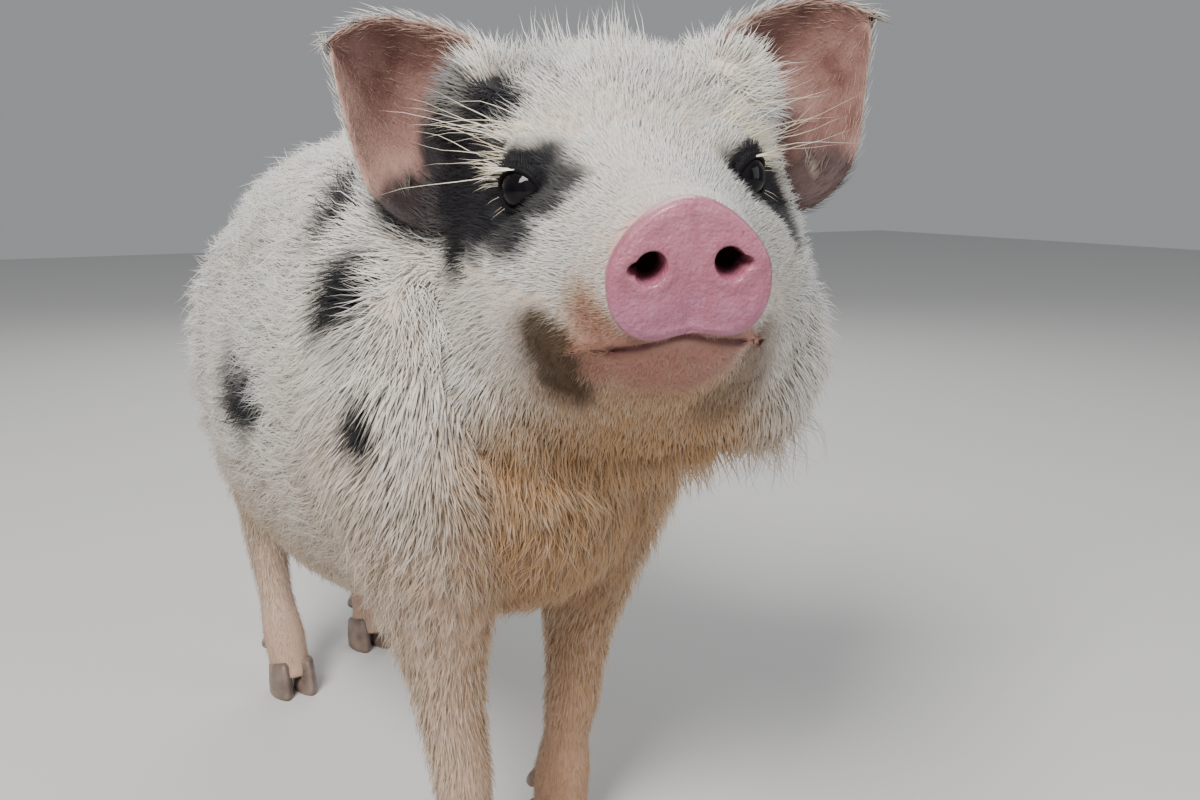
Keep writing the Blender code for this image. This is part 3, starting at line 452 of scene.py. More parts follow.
def skinForms():
    # Closed forms that the remesh joins into one skin
    forms = []
    rings = []
    for forward, halfWidth, widest, top, bottom, power in fillIn(headRows):
        rings.append(oval(inHead(forward, 0, widest), leftAxis, upAxis, halfWidth,
                          top - widest, widest - bottom, (power, jowlRoundness)))
    forms.append(tubeMesh(rings))
    rings = []
    for y, halfWidth, widest, top, bottom in fillIn(trunkRows):
        rings.append(oval(Vector((spineX(y), y, widest)), xAxis, zAxis,
                          halfWidth, top - widest, widest - bottom, trunkRoundness))
    forms.append(tubeMesh(rings))
    neck = fillIn(neckPath)
    forms.append(sweep([row[:3] for row in neck], [row[3] for row in neck], 32))
    for name in legs:
        rings = []
        for row in fillIn(legs[name][0], 3):
            middle, halfWidth, halfDepth = legSection(name, row[0])
            rings.append(oval(middle, xAxis, yAxis, halfWidth, halfDepth, halfDepth, count=28))
        forms.append(tubeMesh(rings))
    for side, _ in sides:
        for (forward, left, up), radii in headSwellings.values():
            forms.append(ellipsoidMesh(inHead(forward, side * left, up),
                                       (forwardAxis, leftAxis, upAxis), radii))
        for (x, y, z), radii in bodySwellings.values():
            middle = Vector((spineX(y) + side * x, y, z))
            forms.append(ellipsoidMesh(middle, (xAxis, yAxis, zAxis), radii))
    lips = mouthPoints(3)
    forms.append(sweep(lips, [0.0018 - 0.0014 * abs(2 * step / (len(lips) - 1) - 1) ** 3
                              for step in range(len(lips))], 12))
    tail = fillIn(tailPath, 4)
    forms.append(sweep([row[:3] for row in tail], [row[3] for row in tail], 16))
    return forms


def earGrid(side, acrossSteps, alongSteps):
    # Middle surface of an ear: rows from its root to its tip, each from the outer rim to the upper
    edges = [fillIn(edge, alongSteps) for edge in (earOuter, earBack, earUpper)]
    grid = []
    for outer, back, upper in zip(*edges):
        row = []
        for step in range(acrossSteps + 1):
            t = step / acrossSteps
            bend = 2 * back - (outer + upper) / 2
            spot = outer * (1 - t) ** 2 + bend * 2 * t * (1 - t) + upper * t ** 2
            row.append(inHead(spot[0], side * spot[1], spot[2]))
        grid.append(row)
    return grid


def earWays(grid, r, c):
    # Way along the ear and its normal at a place of the grid
    run = grid[min(r + 1, len(grid) - 1)][c] - grid[max(r - 1, 0)][c]
    width = grid[r][min(c + 1, len(grid[0]) - 1)] - grid[r][max(c - 1, 0)]
    return run, run.cross(width).normalized()


def earMesh(side):
    # Cupped shell with soft ridges inside, thick at the root and thin at the rim
    across, along = skinUse["earSteps"]
    grid = earGrid(side, across, along)
    rows, columns = len(grid), len(grid[0])
    thick, thin = skinUse["earThickness"]
    mesh = bmesh.new()
    faces = {}
    for face in (1, -1):
        for r in range(rows):
            for c in range(columns):
                _, normal = earWays(grid, r, c)
                reach, t = r / (rows - 1), c / (columns - 1)
                edge = 1.0 - 0.45 * abs(2 * t - 1) ** 5
                half = 0.5 * (thick + (thin - thick) * min(1.0, reach * 1.5)) * edge
                ridge = skinUse["earRidge"] * math.sin(t * 15 + reach * 2) * (1 - reach)
                ridge *= math.sin(math.pi * t)
                spot = grid[r][c] + normal * (half * face + ridge)
                faces[face, r, c] = mesh.verts.new(spot)
    for face in (1, -1):
        for r in range(rows - 1):
            for c in range(columns - 1):
                mesh.faces.new([faces[face, r + i, c + j]
                                for i, j in ((0, 0), (0, 1), (1, 1), (1, 0))])
    rim = [(0, c) for c in range(columns)] + [(r, columns - 1) for r in range(1, rows)]
    rim += [(rows - 1, c) for c in range(columns - 2, -1, -1)]
    rim += [(r, 0) for r in range(rows - 2, 0, -1)]
    for spot, after in zip(rim, rim[1:] + rim[:1]):
        mesh.faces.new((faces[(1, *spot)], faces[(1, *after)], faces[(-1, *after)],
                        faces[(-1, *spot)]))
    return faceOut(mesh)


eyeUse = {
    "place": (-0.003, 0.0345, 0.000),
    "radius": 0.0098,
    "gazeOut": math.radians(47.0),
    "gazeUp": math.radians(5.0),
}


def eyeAxes(side):
    # Middle, gaze, along the opening of the lids, and across it
    out, up = eyeUse["gazeOut"], eyeUse["gazeUp"]
    level = forwardAxis * math.cos(out) + leftAxis * side * math.sin(out)
    gaze = (level * math.cos(up) + upAxis * math.sin(up)).normalized()
    slant = (upAxis + forwardAxis * -0.15).normalized()
    along = slant.cross(gaze).normalized()
    across = gaze.cross(along).normalized()
    forward, left, up = eyeUse["place"]
    return inHead(forward, side * left, up), gaze, along, across


def unit(vectors):
    return vectors / np.maximum(np.linalg.norm(vectors, axis=1), 1e-9)[:, None]


def pathDistance(points, path):
    # Distance to a line of points, and where along it the nearest place lies
    best = np.full(len(points), 9.0)
    where = np.zeros(len(points))
    path = np.array(path)
    for index in range(len(path) - 1):
        start, way = path[index], path[index + 1] - path[index]
        t = np.clip((points - start) @ way / (way @ way), 0, 1)
        gap = np.linalg.norm(points - start - t[:, None] * way, axis=1)
        nearer = gap < best
        best[nearer] = gap[nearer]
        where[nearer] = (index + t[nearer]) / (len(path) - 1)
    return best, where


def splitNear(item, test, rounds):
    # Halves the edges whose ends both pass the test
    mesh = bmesh.new()
    mesh.from_mesh(item.data)
    for _ in range(rounds):
        mesh.verts.ensure_lookup_table()
        near = test(np.array([vert.co for vert in mesh.verts]))
        edges = [edge for edge in mesh.edges
                 if near[edge.verts[0].index] and near[edge.verts[1].index]]
        bmesh.ops.subdivide_edges(mesh, edges=edges, cuts=1, use_grid_fill=True)
        mesh.verts.index_update()
    bmesh.ops.triangulate(mesh, faces=[face for face in mesh.faces if len(face.verts) > 4])
    mesh.to_mesh(item.data)
    mesh.free()


def fromGaze(points, middle, gaze):
    # Distance from an eye's middle, way from it, and angle from its gaze in degrees
    offset = points - np.array(middle)
    way = unit(offset)
    angle = np.degrees(np.arccos(np.clip(way @ np.array(gaze), -1, 1)))
    return np.linalg.norm(offset, axis=1), way, angle


def makeSkin():
    skin = joined(skinForms(), "skin")
    remesh = skin.modifiers.new("blend", "REMESH")
    remesh.mode = "VOXEL"
    remesh.voxel_size = skinUse["voxel"]
    even = skin.modifiers.new("even", "SMOOTH")
    even.factor = 0.5
    even.iterations = skinUse["smoothing"]
    applyModifiers(skin)
    mouth = mouthPoints()

    def nearMouth(points):
        return pathDistance(points, mouth)[0] < skinUse["fineNearMouth"]

    splitNear(skin, nearMouth, 2)
    eyes = [eyeAxes(side) for side, _ in sides]

    def nearEyes(points):
        gaps = [np.linalg.norm(points - np.array(eye[0]), axis=1) for eye in eyes]
        return np.minimum(*gaps) < skinUse["fineNearEye"]

    splitNear(skin, nearEyes, 1)
    points, normals = vertexArray(skin.data), normalArray(skin.data)
    bare = bareness(points)
    depth = skinUse["coatDepth"] * (1 - bare) + skinUse["bareDepth"] * bare
    gap, where = pathDistance(points, mouth)
    right, left = skinUse["cornerFade"]
    corner = np.clip(np.minimum(where * right, (1 - where) * left), 0.15, 1)
    crease = skinUse["creaseDepth"] * np.exp(-(gap / skinUse["creaseWidth"]) ** 2) * corner
    lips = skinUse["lipHeight"] * np.exp(-((gap - skinUse["lipGap"]) / skinUse["lipWidth"]) ** 2)
    local = headPlaces(points)
    points = points - normals * (depth + crease - lips * corner - wrinkles(local))[:, None]
    points = sinkSockets(points, eyes)
    disc = (local[:, 1] / 0.0205) ** 2 + ((local[:, 2] + 0.002) / 0.0175) ** 2
    under = smooth(local[:, 0], 0.076, 0.082) * (1 - smooth(disc, 0.7, 1.0))
    points = points - np.array(forwardAxis) * (skinUse["discSeat"] * under)[:, None]
    setVertices(skin.data, points)
    for side, _ in sides:
        ear = place(earMesh(side), "ear")
        union = skin.modifiers.new("ear", "BOOLEAN")
        union.operation = "UNION"
        union.solver = "MANIFOLD"
        union.object = ear
        applyModifiers(skin)
        remove(ear)
    return skin


def wrinkles(place):
    # Soft rings round the muzzle behind the disc
    forward, up = place[:, 0], place[:, 2]
    on = smooth(forward, 0.048, 0.058) * (1 - smooth(forward, 0.079, 0.083))
    on = on * smooth(up, -0.030, -0.015)
    drift = np.array([noise.noise(Vector(spot) / 0.018) for spot in place])
    waves = np.sin(forward * skinUse["wrinkleTurns"] + drift * 4)
    return skinUse["wrinkleHeight"] * waves * on


def bareness(points):
    # 1 where the skin shows, 0 under the full coat
    local = headPlaces(points)
    muzzle = smooth(local[:, 0], 0.055, 0.080)
    feet = 1 - smooth(points[:, 2], 0.030, 0.060)
    tail = smooth(points[:, 1], 0.192, 0.198)
    return np.clip(np.maximum(np.maximum(muzzle, feet), tail), 0, 1)


def sinkSockets(points, eyes):
    # Draws the skin in front of each eye back behind the ball's face
    for middle, gaze, _, _ in eyes:
        gap, way, angle = fromGaze(points, middle, gaze)
        inside = (1 - smooth(angle, *skinUse["socketAngles"])) * (gap < skinUse["socketReach"])
        wanted = np.minimum(gap, eyeUse["radius"] - skinUse["socketDepth"])
        points = np.where((inside > 0)[:, None],
                          np.array(middle) + way * (gap * (1 - inside) + wanted * inside)[:, None],
                          points)
    return points


# Markings: centre, radii and strength, in the head's (F, L, U) or in the body's x, y, z
headBlack = {
    "rightEarToEye": ((-0.040, -0.060, -0.002), (0.034, 0.020, 0.022), 1.0),
    "rightBehindEye": ((-0.010, -0.051, -0.008), (0.024, 0.019, 0.017), 1.0),
    "rightLowTongue": ((-0.0200, -0.0605, -0.0262), (0.012, 0.011, 0.0120), 1.0),
    "rightAboveEye": ((-0.0235, -0.0455, 0.0052), (0.013, 0.011, 0.0080), 0.95),
    "rightEarTop": ((-0.063, -0.0560, 0.0190), (0.021, 0.014, 0.0120), 0.75),
    "rightUnderEar": ((-0.022, -0.061, -0.016), (0.018, 0.012, 0.011), 1.0),
    "rightInnerCorner": ((0.017, -0.0275, 0.0055), (0.017, 0.012, 0.0100), 0.92),
    "rightUnderEye": ((0.0135, -0.0395, -0.0085), (0.017, 0.012, 0.0110), 0.95),
    "rightBlotch": ((-0.0465, -0.0455, 0.0215), (0.015, 0.0135, 0.0115), 1.0),
    "rightEarRoot": ((-0.068, -0.0600, 0.0010), (0.025, 0.0125, 0.0200), 1.0),
    "rightCrown": ((-0.052, -0.040, 0.037), (0.012, 0.009, 0.009), 0.35),
    "crown": ((-0.056, -0.026, 0.031), (0.012, 0.009, 0.009), 0.30),
    "leftBehindEye": ((-0.012, 0.050, -0.004), (0.019, 0.014, 0.015), 1.0),
    "leftUnderEye": ((-0.005, 0.054, -0.014), (0.012, 0.012, 0.012), 0.9),
    "leftInnerCorner": ((0.011, 0.0345, -0.0015), (0.012, 0.010, 0.0090), 1.0),
    "leftSpot": ((-0.0188, 0.0331, 0.0210), (0.006, 0.004, 0.004), 0.5),
    "rightEyeRing": ((-0.002, -0.0345, -0.001), (0.0190, 0.0190, 0.0170), 1.0),
    "leftEyeRing": ((-0.002, 0.0345, -0.0015), (0.0175, 0.0175, 0.0152), 1.0),
    "rightEarFoot": ((-0.050, -0.070, -0.017), (0.023, 0.024, 0.013), 0.95),
    "leftEarFoot": ((-0.048, 0.076, -0.015), (0.020, 0.020, 0.017), 0.75),
}
bodyBlack = {
    "shoulderHigh": ((-0.0526, -0.0874, 0.2855), (0.020, 0.0150, 0.0150), 1.0),
    "shoulder": ((-0.0641, -0.1175, 0.2514), (0.018, 0.0140, 0.0200), 1.0),
    "flank": ((-0.0740, 0.0010, 0.1970), (0.020, 0.0400, 0.0165), 1.0),
    "shoulderLow": ((-0.0680, -0.1515, 0.2095), (0.015, 0.0078, 0.0120), 1.0),
    "mottleBack": ((-0.0593, 0.0194, 0.2629), (0.016, 0.0160, 0.0130), 0.28),
    "mottleShoulder": ((-0.0691, -0.1347, 0.2382), (0.014, 0.0130, 0.0110), 0.30),
    "mottleRump": ((-0.0632, 0.0773, 0.2495), (0.016, 0.0150, 0.0140), 0.28),
    "leftShoulder": ((0.0660, -0.0720, 0.2530), (0.020, 0.0230, 0.0150), 1.0),
    "leftShoulderLow": ((0.0710, -0.0540, 0.2370), (0.018, 0.0120, 0.0130), 0.9),
    "leftFlank": ((0.0800, 0.0280, 0.2080), (0.018, 0.0270, 0.0160), 1.0),
    "leftFlankAhead": ((0.0800, 0.0020, 0.2000), (0.018, 0.0110, 0.0100), 0.8),
    "leftHam": ((0.0820, 0.1150, 0.2330), (0.022, 0.0140, 0.0270), 1.0),
    "mottleLeft": ((0.0700, -0.0120, 0.2680), (0.020, 0.0180, 0.0130), 0.26),
    "rump": ((-0.0180, 0.1450, 0.2850), (0.020, 0.0200, 0.0180), 1.0),
    "rumpHigh": ((0.0040, 0.1270, 0.3010), (0.017, 0.0130, 0.0140), 0.85),
}
# Stain at the right mouth corner and below it; the left corner and left chin patches are painted shade
# on the chin's shaded left side
headStainAndShade = {
    "rightCorner": ((0.043, -0.0365, -0.0405), (0.019, 0.014, 0.0140), 1.0),
    "rightBelow": ((0.041, -0.030, -0.052), (0.017, 0.012, 0.0110), 1.0),
    "leftCornerShade": ((0.044, 0.0345, -0.0480), (0.018, 0.012, 0.0150), 0.62),
    "leftChin": ((0.0340, 0.0270, -0.0620), (0.020, 0.016, 0.0200), 0.55),
}
headFlush = {
    "chin": ((0.074, 0.001, -0.038), (0.026, 0.030, 0.0215), 0.95),
    "rightCorner": ((0.060, -0.024, -0.040), (0.018, 0.012, 0.012), 0.85),
    "rightLip": ((0.072, -0.022, -0.025), (0.018, 0.012, 0.0110), 0.75),
}
headTan = {
    "rightLip": ((0.069, -0.0255, -0.0245), (0.021, 0.014, 0.0150), 0.95),
    "rightCorner": ((0.056, -0.028, -0.040), (0.020, 0.014, 0.0150), 0.90),
    "leftLip": ((0.068, 0.026, -0.029), (0.014, 0.010, 0.0090), 0.55),
}


def noiseWays(points, scale):
    return np.array([noise.noise_vector(Vector(point) / scale) for point in points])


def warped(points, size, scale):
    # Points shifted by smooth noise, so that marking edges are ragged
    return points + noiseWays(points, scale) * size


def patchMask(points, patches, core=0.78):
    # 1 in the core of a patch, 0 from as far past its radius as the core ends before it
    mask = np.zeros(len(points))
    for centre, radii, strength in patches.values():
        reach = np.linalg.norm((points - np.array(centre)) / np.array(radii), axis=1)
        mask = np.maximum(mask, strength * (1 - smooth(reach, core, 1.94 - core)))
    return mask


def markings(points):
    # Black, mouth stain with painted shade along the mouth and on the chin's left side, tan, pinkish
    # hair, mouth line painted as a shadow in its crease, and flushed skin, each 0 to 1
    ragged = warped(warped(points, 0.0030, 0.011), 0.0012, 0.0035)
    local = headPlaces(ragged)
    torn = warped(ragged, 0.0060, 0.024)
    black = np.maximum(patchMask(local, headBlack), patchMask(torn, bodyBlack))
    stainAndShade = patchMask(local, headStainAndShade, 0.65)
    forward, left, up = local.T
    border = -0.038 - 0.85 * np.maximum(0, 0.045 - forward) + 0.3 * np.maximum(0, forward - 0.045)
    border = border - 0.9 * np.maximum(0, left - 0.033)
    below = 1 - smooth(up, border - 0.028, border + 0.010)
    middle = 1 - smooth(np.abs(left - 0.002), 0.048, 0.088)
    chin = below * smooth(forward, -0.075, -0.02) * middle
    throat = (1 - smooth(ragged[:, 1], -0.150, -0.110)) * smooth(ragged[:, 2], 0.130, 0.195)
    throat = throat * below * middle * 0.45
    tan = np.maximum(np.maximum(chin, throat), patchMask(local, headTan, 0.55))
    chest = (1 - smooth(ragged[:, 2], 0.14, 0.28)) * (1 - smooth(ragged[:, 1], -0.12, -0.04))
    belly = 1 - smooth(ragged[:, 2], 0.120, 0.210)
    rosy = np.maximum(np.maximum(chest, belly), chin)
    gap, _ = pathDistance(points, mouthPoints(4))
    # Mouth line: painted shadow in the crease below the disc
    mouth = (1 - smooth(gap, 0.0007, 0.0024)) * (1 - smooth(np.abs(left), 0.017, 0.026))
    # Painted shade along the mouth line, short of its left end
    mouthShade = (1 - smooth(gap, 0.0015, 0.0070)) * (1 - smooth(left, 0.015, 0.021))
    stainAndShade = np.maximum(stainAndShade, 0.50 * mouthShade)
    flush = np.maximum(patchMask(local, headFlush, 0.45), 0.9 * (1 - smooth(gap, 0.002, 0.009)))
    return {"black": black, "stainAndShade": stainAndShade, "tan": tan, "rosy": rosy, "mouth": mouth, "flush": flush}


# Coat plan: where hair grows, how long, and which way it lies
hairLengths = {
    "poll": 0.0165,
    "lessAtEyes": 0.0085,
    "lessAtMuzzle": 0.0040,
    "moreAtCheek": 0.0095,
    "chin": 0.0075,
    "body": 0.0215,
    "lessBelow": 0.008,
    "lessAtChest": 0.004,
    "foot": 0.0048,
    "moreAtElbow": 0.0055,
    "earInside": 0.0044,
    "earOutside": 0.0070,
    "moreAtEarRim": 0.0060,
    "tail": 0.009,
    "moreAtBrush": 0.020,
    "atEye": 0.0045,
}
earReach = 0.0042


def alongFace(ways, normals):
    # Ways without their share along the normals
    return ways - normals * np.sum(ways * normals, axis=1)[:, None]


def partWeights(points, normals, earTree):
    # How far each point is head, leg, tail, ear or ear's inside, and its place on the ear
    local = headPlaces(points)
    forward, left, up = local.T
    poll = ((forward + 0.085) * 0.932 + (up - 0.030) * 0.364) / math.hypot(0.932, 0.364)
    jaw = (forward + 0.030) * -0.10 + (up + 0.1165) * 0.995
    head = smooth(np.minimum(poll, jaw), -0.010, 0.010)
    leg = 1 - smooth(points[:, 2], 0.095, 0.150)
    tail = smooth(points[:, 1], 0.190, 0.197)
    ear = np.zeros(len(points))
    inside = np.zeros(len(points))
    reach = np.zeros(len(points))
    edge = np.zeros(len(points))
    near = np.where((np.abs(left) > 0.040) & (up > -0.045) & (forward < -0.03))[0]
    for index in near:
        _, found, gap = earTree["tree"].find(points[index])
        if gap < earReach:
            ear[index] = 1
            reach[index] = earTree["reach"][found]
            edge[index] = earTree["edge"][found]
            inside[index] = 1.0 if normals[index] @ earTree["normals"][found] > 0 else 0.0
    return local, head, leg, tail, ear, inside, reach, edge


def earLookup():
    # Places on both ears with their normal to the front, way to the tip, reach and edge
    spots, ways, reach, edge, runs = [], [], [], [], []
    for side, _ in sides:
        grid = earGrid(side, 14, 4)
        rows, columns = len(grid), len(grid[0])
        for r in range(rows):
            for c in range(columns):
                run, normal = earWays(grid, r, c)
                if normal.dot(forwardAxis) < 0:
                    normal = -normal
                spots.append(grid[r][c])
                ways.append(normal)
                runs.append(run.normalized())
                reach.append(r / (rows - 1))
                edge.append(2 * c / (columns - 1) - 1)  # -1 at the outer rim, 1 at the upper
    tree = KDTree(len(spots))
    for index, spot in enumerate(spots):
        tree.insert(spot, index)
    tree.balance()
    return {"tree": tree, "normals": np.array(ways), "runs": np.array(runs),
            "reach": np.array(reach), "edge": np.array(edge)}


def coatPlan(points, normals, earTree):
    # Flow, length and density of the hair at each point, and the part it lies on
    local, head, leg, tail, ear, inside, reach, edge = partWeights(points, normals, earTree)
    forward, left, up = local.T
    side = np.sign(left)
    spread = np.clip(np.abs(left) / 0.045, 0, 1)
    low = smooth(-up, 0.010, 0.060)
    headFlow = np.stack([-(1.0 - 0.35 * low), side * 0.55 * spread * (1 - low),
                         -(0.15 + 0.75 * low)], axis=1) @ headMatrix
    front = np.clip((-0.105 - points[:, 1]) / 0.05, 0, 1)
    lower = np.clip((0.27 - points[:, 2]) / 0.10, 0, 1)
    rump = np.clip((points[:, 1] - 0.12) / 0.06, 0, 1)
    down = 0.12 + 0.38 * lower + 0.9 * front * lower + 0.7 * rump
    bodyFlow = np.stack([np.zeros(len(points)), 1.0 - 0.6 * front * lower, -down], axis=1)
    legFlow = np.tile(np.array([0, 0.18, -1.0]), (len(points), 1))
    flow = unit(headFlow) * head[:, None] + unit(bodyFlow) * (1 - head)[:, None]
    flow = flow * (1 - leg)[:, None] + unit(legFlow) * leg[:, None]
    earRun = np.array([earTree["runs"][earTree["tree"].find(point)[1]] if on else (0, 0, 0)
                       for point, on in zip(points, ear)])
    flow = np.where((ear > 0)[:, None], earRun, flow)
    flow = np.where((tail > 0.5)[:, None], np.array([0, 0.1, -1.0]), flow)
    # Where the flow stands on the skin, the hair droops instead
    slack = 1 - smooth(np.linalg.norm(alongFace(flow, normals), axis=1), 0.35, 0.85)
    droop = np.array([0, 0.15, -1.0])
    hanging = droop - normals * (normals @ droop)[:, None]
    flow = flow * (1 - slack[:, None]) + hanging * slack[:, None]
    swirl = noiseWays(points, 0.022)
    swirl += 0.5 * noiseWays(points, 0.008)
    loose = 0.42 + 0.30 * (1 - head) * (1 - leg)
    loose = loose * (1 - ear) * (1 - 0.72 * smooth(forward, -0.01, 0.05))
    flow = unit(alongFace(unit(flow + swirl * loose[:, None]), normals))
    use = hairLengths
    muzzle = smooth(forward, 0.010, 0.075)
    face = use["poll"] - use["lessAtEyes"] * smooth(forward, -0.062, 0.005)
    face = face - use["lessAtMuzzle"] * muzzle
    cheek = smooth(-up, 0.015, 0.055) * (1 - smooth(forward, 0.0, 0.05))
    headLength = face + use["moreAtCheek"] * cheek
    chin = smooth(-up, 0.045, 0.060) * smooth(forward, 0.0, 0.03)
    headLength = headLength * (1 - chin) + use["chin"] * chin
    bodyLength = use["body"] - use["lessBelow"] * (1 - smooth(points[:, 2], 0.10, 0.18))
    bodyLength = bodyLength - use["lessAtChest"] * front * lower
    length = headLength * head + bodyLength * (1 - head)
    legLength = use["foot"] + use["moreAtElbow"] * smooth(points[:, 2], 0.03, 0.11)
    length = length * (1 - leg) + legLength * leg
    fringe = smooth(edge, 0.78, 1.0) + 0.30 * smooth(-edge, 0.85, 1.0) + 0.6 * smooth(reach, 0.85, 1.0)
    earLength = np.where(inside > 0, use["earInside"], use["earOutside"])
    earLength = earLength + use["moreAtEarRim"] * np.minimum(1.0, fringe)
    length = np.where(ear > 0, earLength, length)
    tailLength = use["tail"] + use["moreAtBrush"] * (1 - smooth(points[:, 2], 0.19, 0.23))
    length = np.where(tail > 0.5, tailLength, length)
    grown = np.ones(len(points))
    for eyeSide, _ in sides:
        gap, _, angle = fromGaze(points, *eyeAxes(eyeSide)[:2])
        grown = grown * np.where((gap < 0.020), smooth(angle, 62, 76), 1.0)
        length = np.where(gap < 0.026, np.minimum(length, use["atEye"] + 0.25 * (gap - 0.012)), length)
    rim = smooth(edge, 0.84, 0.98) + 0.35 * smooth(-edge, 0.93, 1.0)
    grown = grown * np.where((ear > 0) & (inside > 0), 0.24 + 0.76 * np.minimum(1.0, rim), 1.0)
    grown = grown * np.where(forward > 0.0862, 0.0, 1.0)
    mouth, _ = pathDistance(points, mouthPoints(4))
    lip = (1 - smooth(mouth, 0.003, 0.010)) * smooth(forward, 0.045, 0.06)
    lapped = smooth(np.where(left > 0, left - 0.012, -left), 0.014, 0.020)
    grown = grown * np.maximum(smooth(mouth, 0.0012, 0.0028), lapped) * (1 - 0.3 * lip)
    disc = (left / 0.0212) ** 2 + ((up + 0.002) / 0.0182) ** 2
    grown = grown * np.where((forward > 0.078) & (disc < 0.86), 0.0, 1.0)
    length = length * (0.6 + 0.4 * np.maximum(smooth(mouth, 0.002, 0.009), lapped * 0.7))
    grown = grown * smooth(points[:, 2], 0.012, 0.020)
    # The right ear's inside gets painted light on its outer half, which lies in shade
    return {"flow": flow, "hairLength": length, "grow": grown, "earInside": inside * ear,
            "earPaintedLight": inside * ear * (left < 0) * (1 - smooth(edge, -0.80, -0.10)),
            "ear": ear, "head": head, "leg": leg, "tail": tail, "place": local}


def storeFloat(data, name, values):
    found = data.attributes.new(name, "FLOAT", "POINT")
    found.data.foreach_set("value", np.asarray(values, np.float32))


def storeVector(data, name, values):
    found = data.attributes.new(name, "FLOAT_VECTOR", "POINT")
    found.data.foreach_set("vector", np.asarray(values, np.float32).ravel())


def dropAttributes(data, names):
    for name in names:
        found = data.attributes.get(name)
        if found:
            data.attributes.remove(found)


# What a finished piece of the coat doesn't need, and what the emitter gets anew. Its stain with its
# painted shade, rosy and flush stay those of the skin, so that they lie where the hair grows.
spareNames = ("patch", "rootUv", "rootNormal", "flow", "hairLength", "grow", "bare", "earPaintedLight", "mouth")
renewedNames = ("black", "tan", "mouth", "earInside", "earPaintedLight", "bare", "hairLength", "grow", "flow")


def dress(data, earTree, reach=0.0):
    # Stores the coat plan and the missing markings, taken a share of a hair ahead, on a mesh
    points, normals = vertexArray(data), normalArray(data)
    plan = coatPlan(points, normals, earTree)
    ahead = plan["flow"] * plan["hairLength"][:, None] * reach
    for name, values in markings(points + ahead).items():
        if name == "rosy":
            values = np.maximum(values, 0.85 * plan["earInside"])
        if data.attributes.get(name) is None:
            storeFloat(data, name, values)
    for name, values in (("earInside", plan["earInside"]), ("earPaintedLight", plan["earPaintedLight"]),
                         ("bare", bareness(points)),
                         ("hairLength", plan["hairLength"]), ("grow", plan["grow"])):
        storeFloat(data, name, values)
    storeVector(data, "flow", plan["flow"])
    return points, plan


# Materials
def newMaterial(name, roughness, colour=None):
    # Material with its node tree and shader
    material = bpy.data.materials.new(name)
    material.use_nodes = True
    shader = material.node_tree.nodes["Principled BSDF"]
    shader.inputs["Roughness"].default_value = roughness
    if colour:
        shader.inputs["Base Color"].default_value = (*colour, 1)
    return material, material.node_tree, shader


def newNode(tree, kind, inputs=(), **settings):
    # Node with its settings, and its inputs linked or set by name or number
    node = tree.nodes.new(kind)
    for name, value in settings.items():
        setattr(node, name, value)
    for name, value in dict(inputs).items():
        if isinstance(value, bpy.types.NodeSocket):
            tree.links.new(value, node.inputs[name])
        else:
            node.inputs[name].default_value = value
    return node


def multiplied(tree, first, second):
    return newNode(tree, "ShaderNodeMath", {0: first, 1: second}, operation="MULTIPLY").outputs[0]


def mixColour(tree, first, second, factor, blend="MIX"):
    first, second = ((*value, 1) if isinstance(value, tuple) else value for value in (first, second))
    return newNode(tree, "ShaderNodeMix", {0: factor, 6: first, 7: second},
                   data_type="RGBA", blend_type=blend).outputs[2]


def attribute(tree, name):
    return newNode(tree, "ShaderNodeAttribute", attribute_name=name).outputs["Fac"]


def scaled(tree, value, low, high, first=0.0, last=1.0):
    return newNode(tree, "ShaderNodeMapRange", {"Value": value, "From Min": low, "From Max": high,
                                                "To Min": first, "To Max": last}).outputs["Result"]


def noiseValue(tree, scale, detail=3.0):
    spot = newNode(tree, "ShaderNodeTexCoord").outputs["Object"]
    return newNode(tree, "ShaderNodeTexNoise", {"Vector": spot, "Scale": scale,
                                                "Detail": detail}).outputs["Fac"]


def bumped(tree, shader, height, strength, distance):
    bump = newNode(tree, "ShaderNodeBump", {"Height": height, "Strength": strength,
                                            "Distance": distance})
    tree.links.new(bump.outputs["Normal"], shader.inputs["Normal"])


coatColours = {
    "white": (0.90, 0.89, 0.86),
    # Darker strand colour, for random tone and for painted shade between tufts and near the roots
    "shade": (0.66, 0.64, 0.60),
    "cream": (0.78, 0.70, 0.56),
    "black": (0.007, 0.0065, 0.008),
    "blackTip": (0.022, 0.021, 0.025),
    "tan": (0.48, 0.265, 0.110),
    "rosy": (0.46, 0.315, 0.200),
    "flush": (0.33, 0.140, 0.105),
    # Stain colour, also used for painted shade along the mouth and on the chin's left side
    "stainAndShade": (0.064, 0.036, 0.017),
    "skinPink": (0.64, 0.33, 0.26),
    "skinRed": (0.50, 0.22, 0.18),
    "skinPale": (0.74, 0.64, 0.54),
    "skinTan": (0.40, 0.220, 0.130),
    "skinRosy": (0.42, 0.275, 0.200),
    "skinBlack": (0.010, 0.009, 0.011),
    "earPink": (0.250, 0.132, 0.110),
    "earDeep": (0.150, 0.066, 0.056),
    # Painted light for the shaded outer half of the right ear's inside
    "earPaintedLightTone": (0.42, 0.245, 0.200),
    # Painted shadow in the mouth crease
    "lips": (0.10, 0.030, 0.026),
    "rootShade": (0.40, 0.35, 0.30),
    "earHairDark": (0.20, 0.105, 0.080),
    "earHairPale": (0.50, 0.34, 0.28),
    "bristleDark": (0.72, 0.60, 0.40),
    "bristlePale": (0.88, 0.82, 0.68),
}
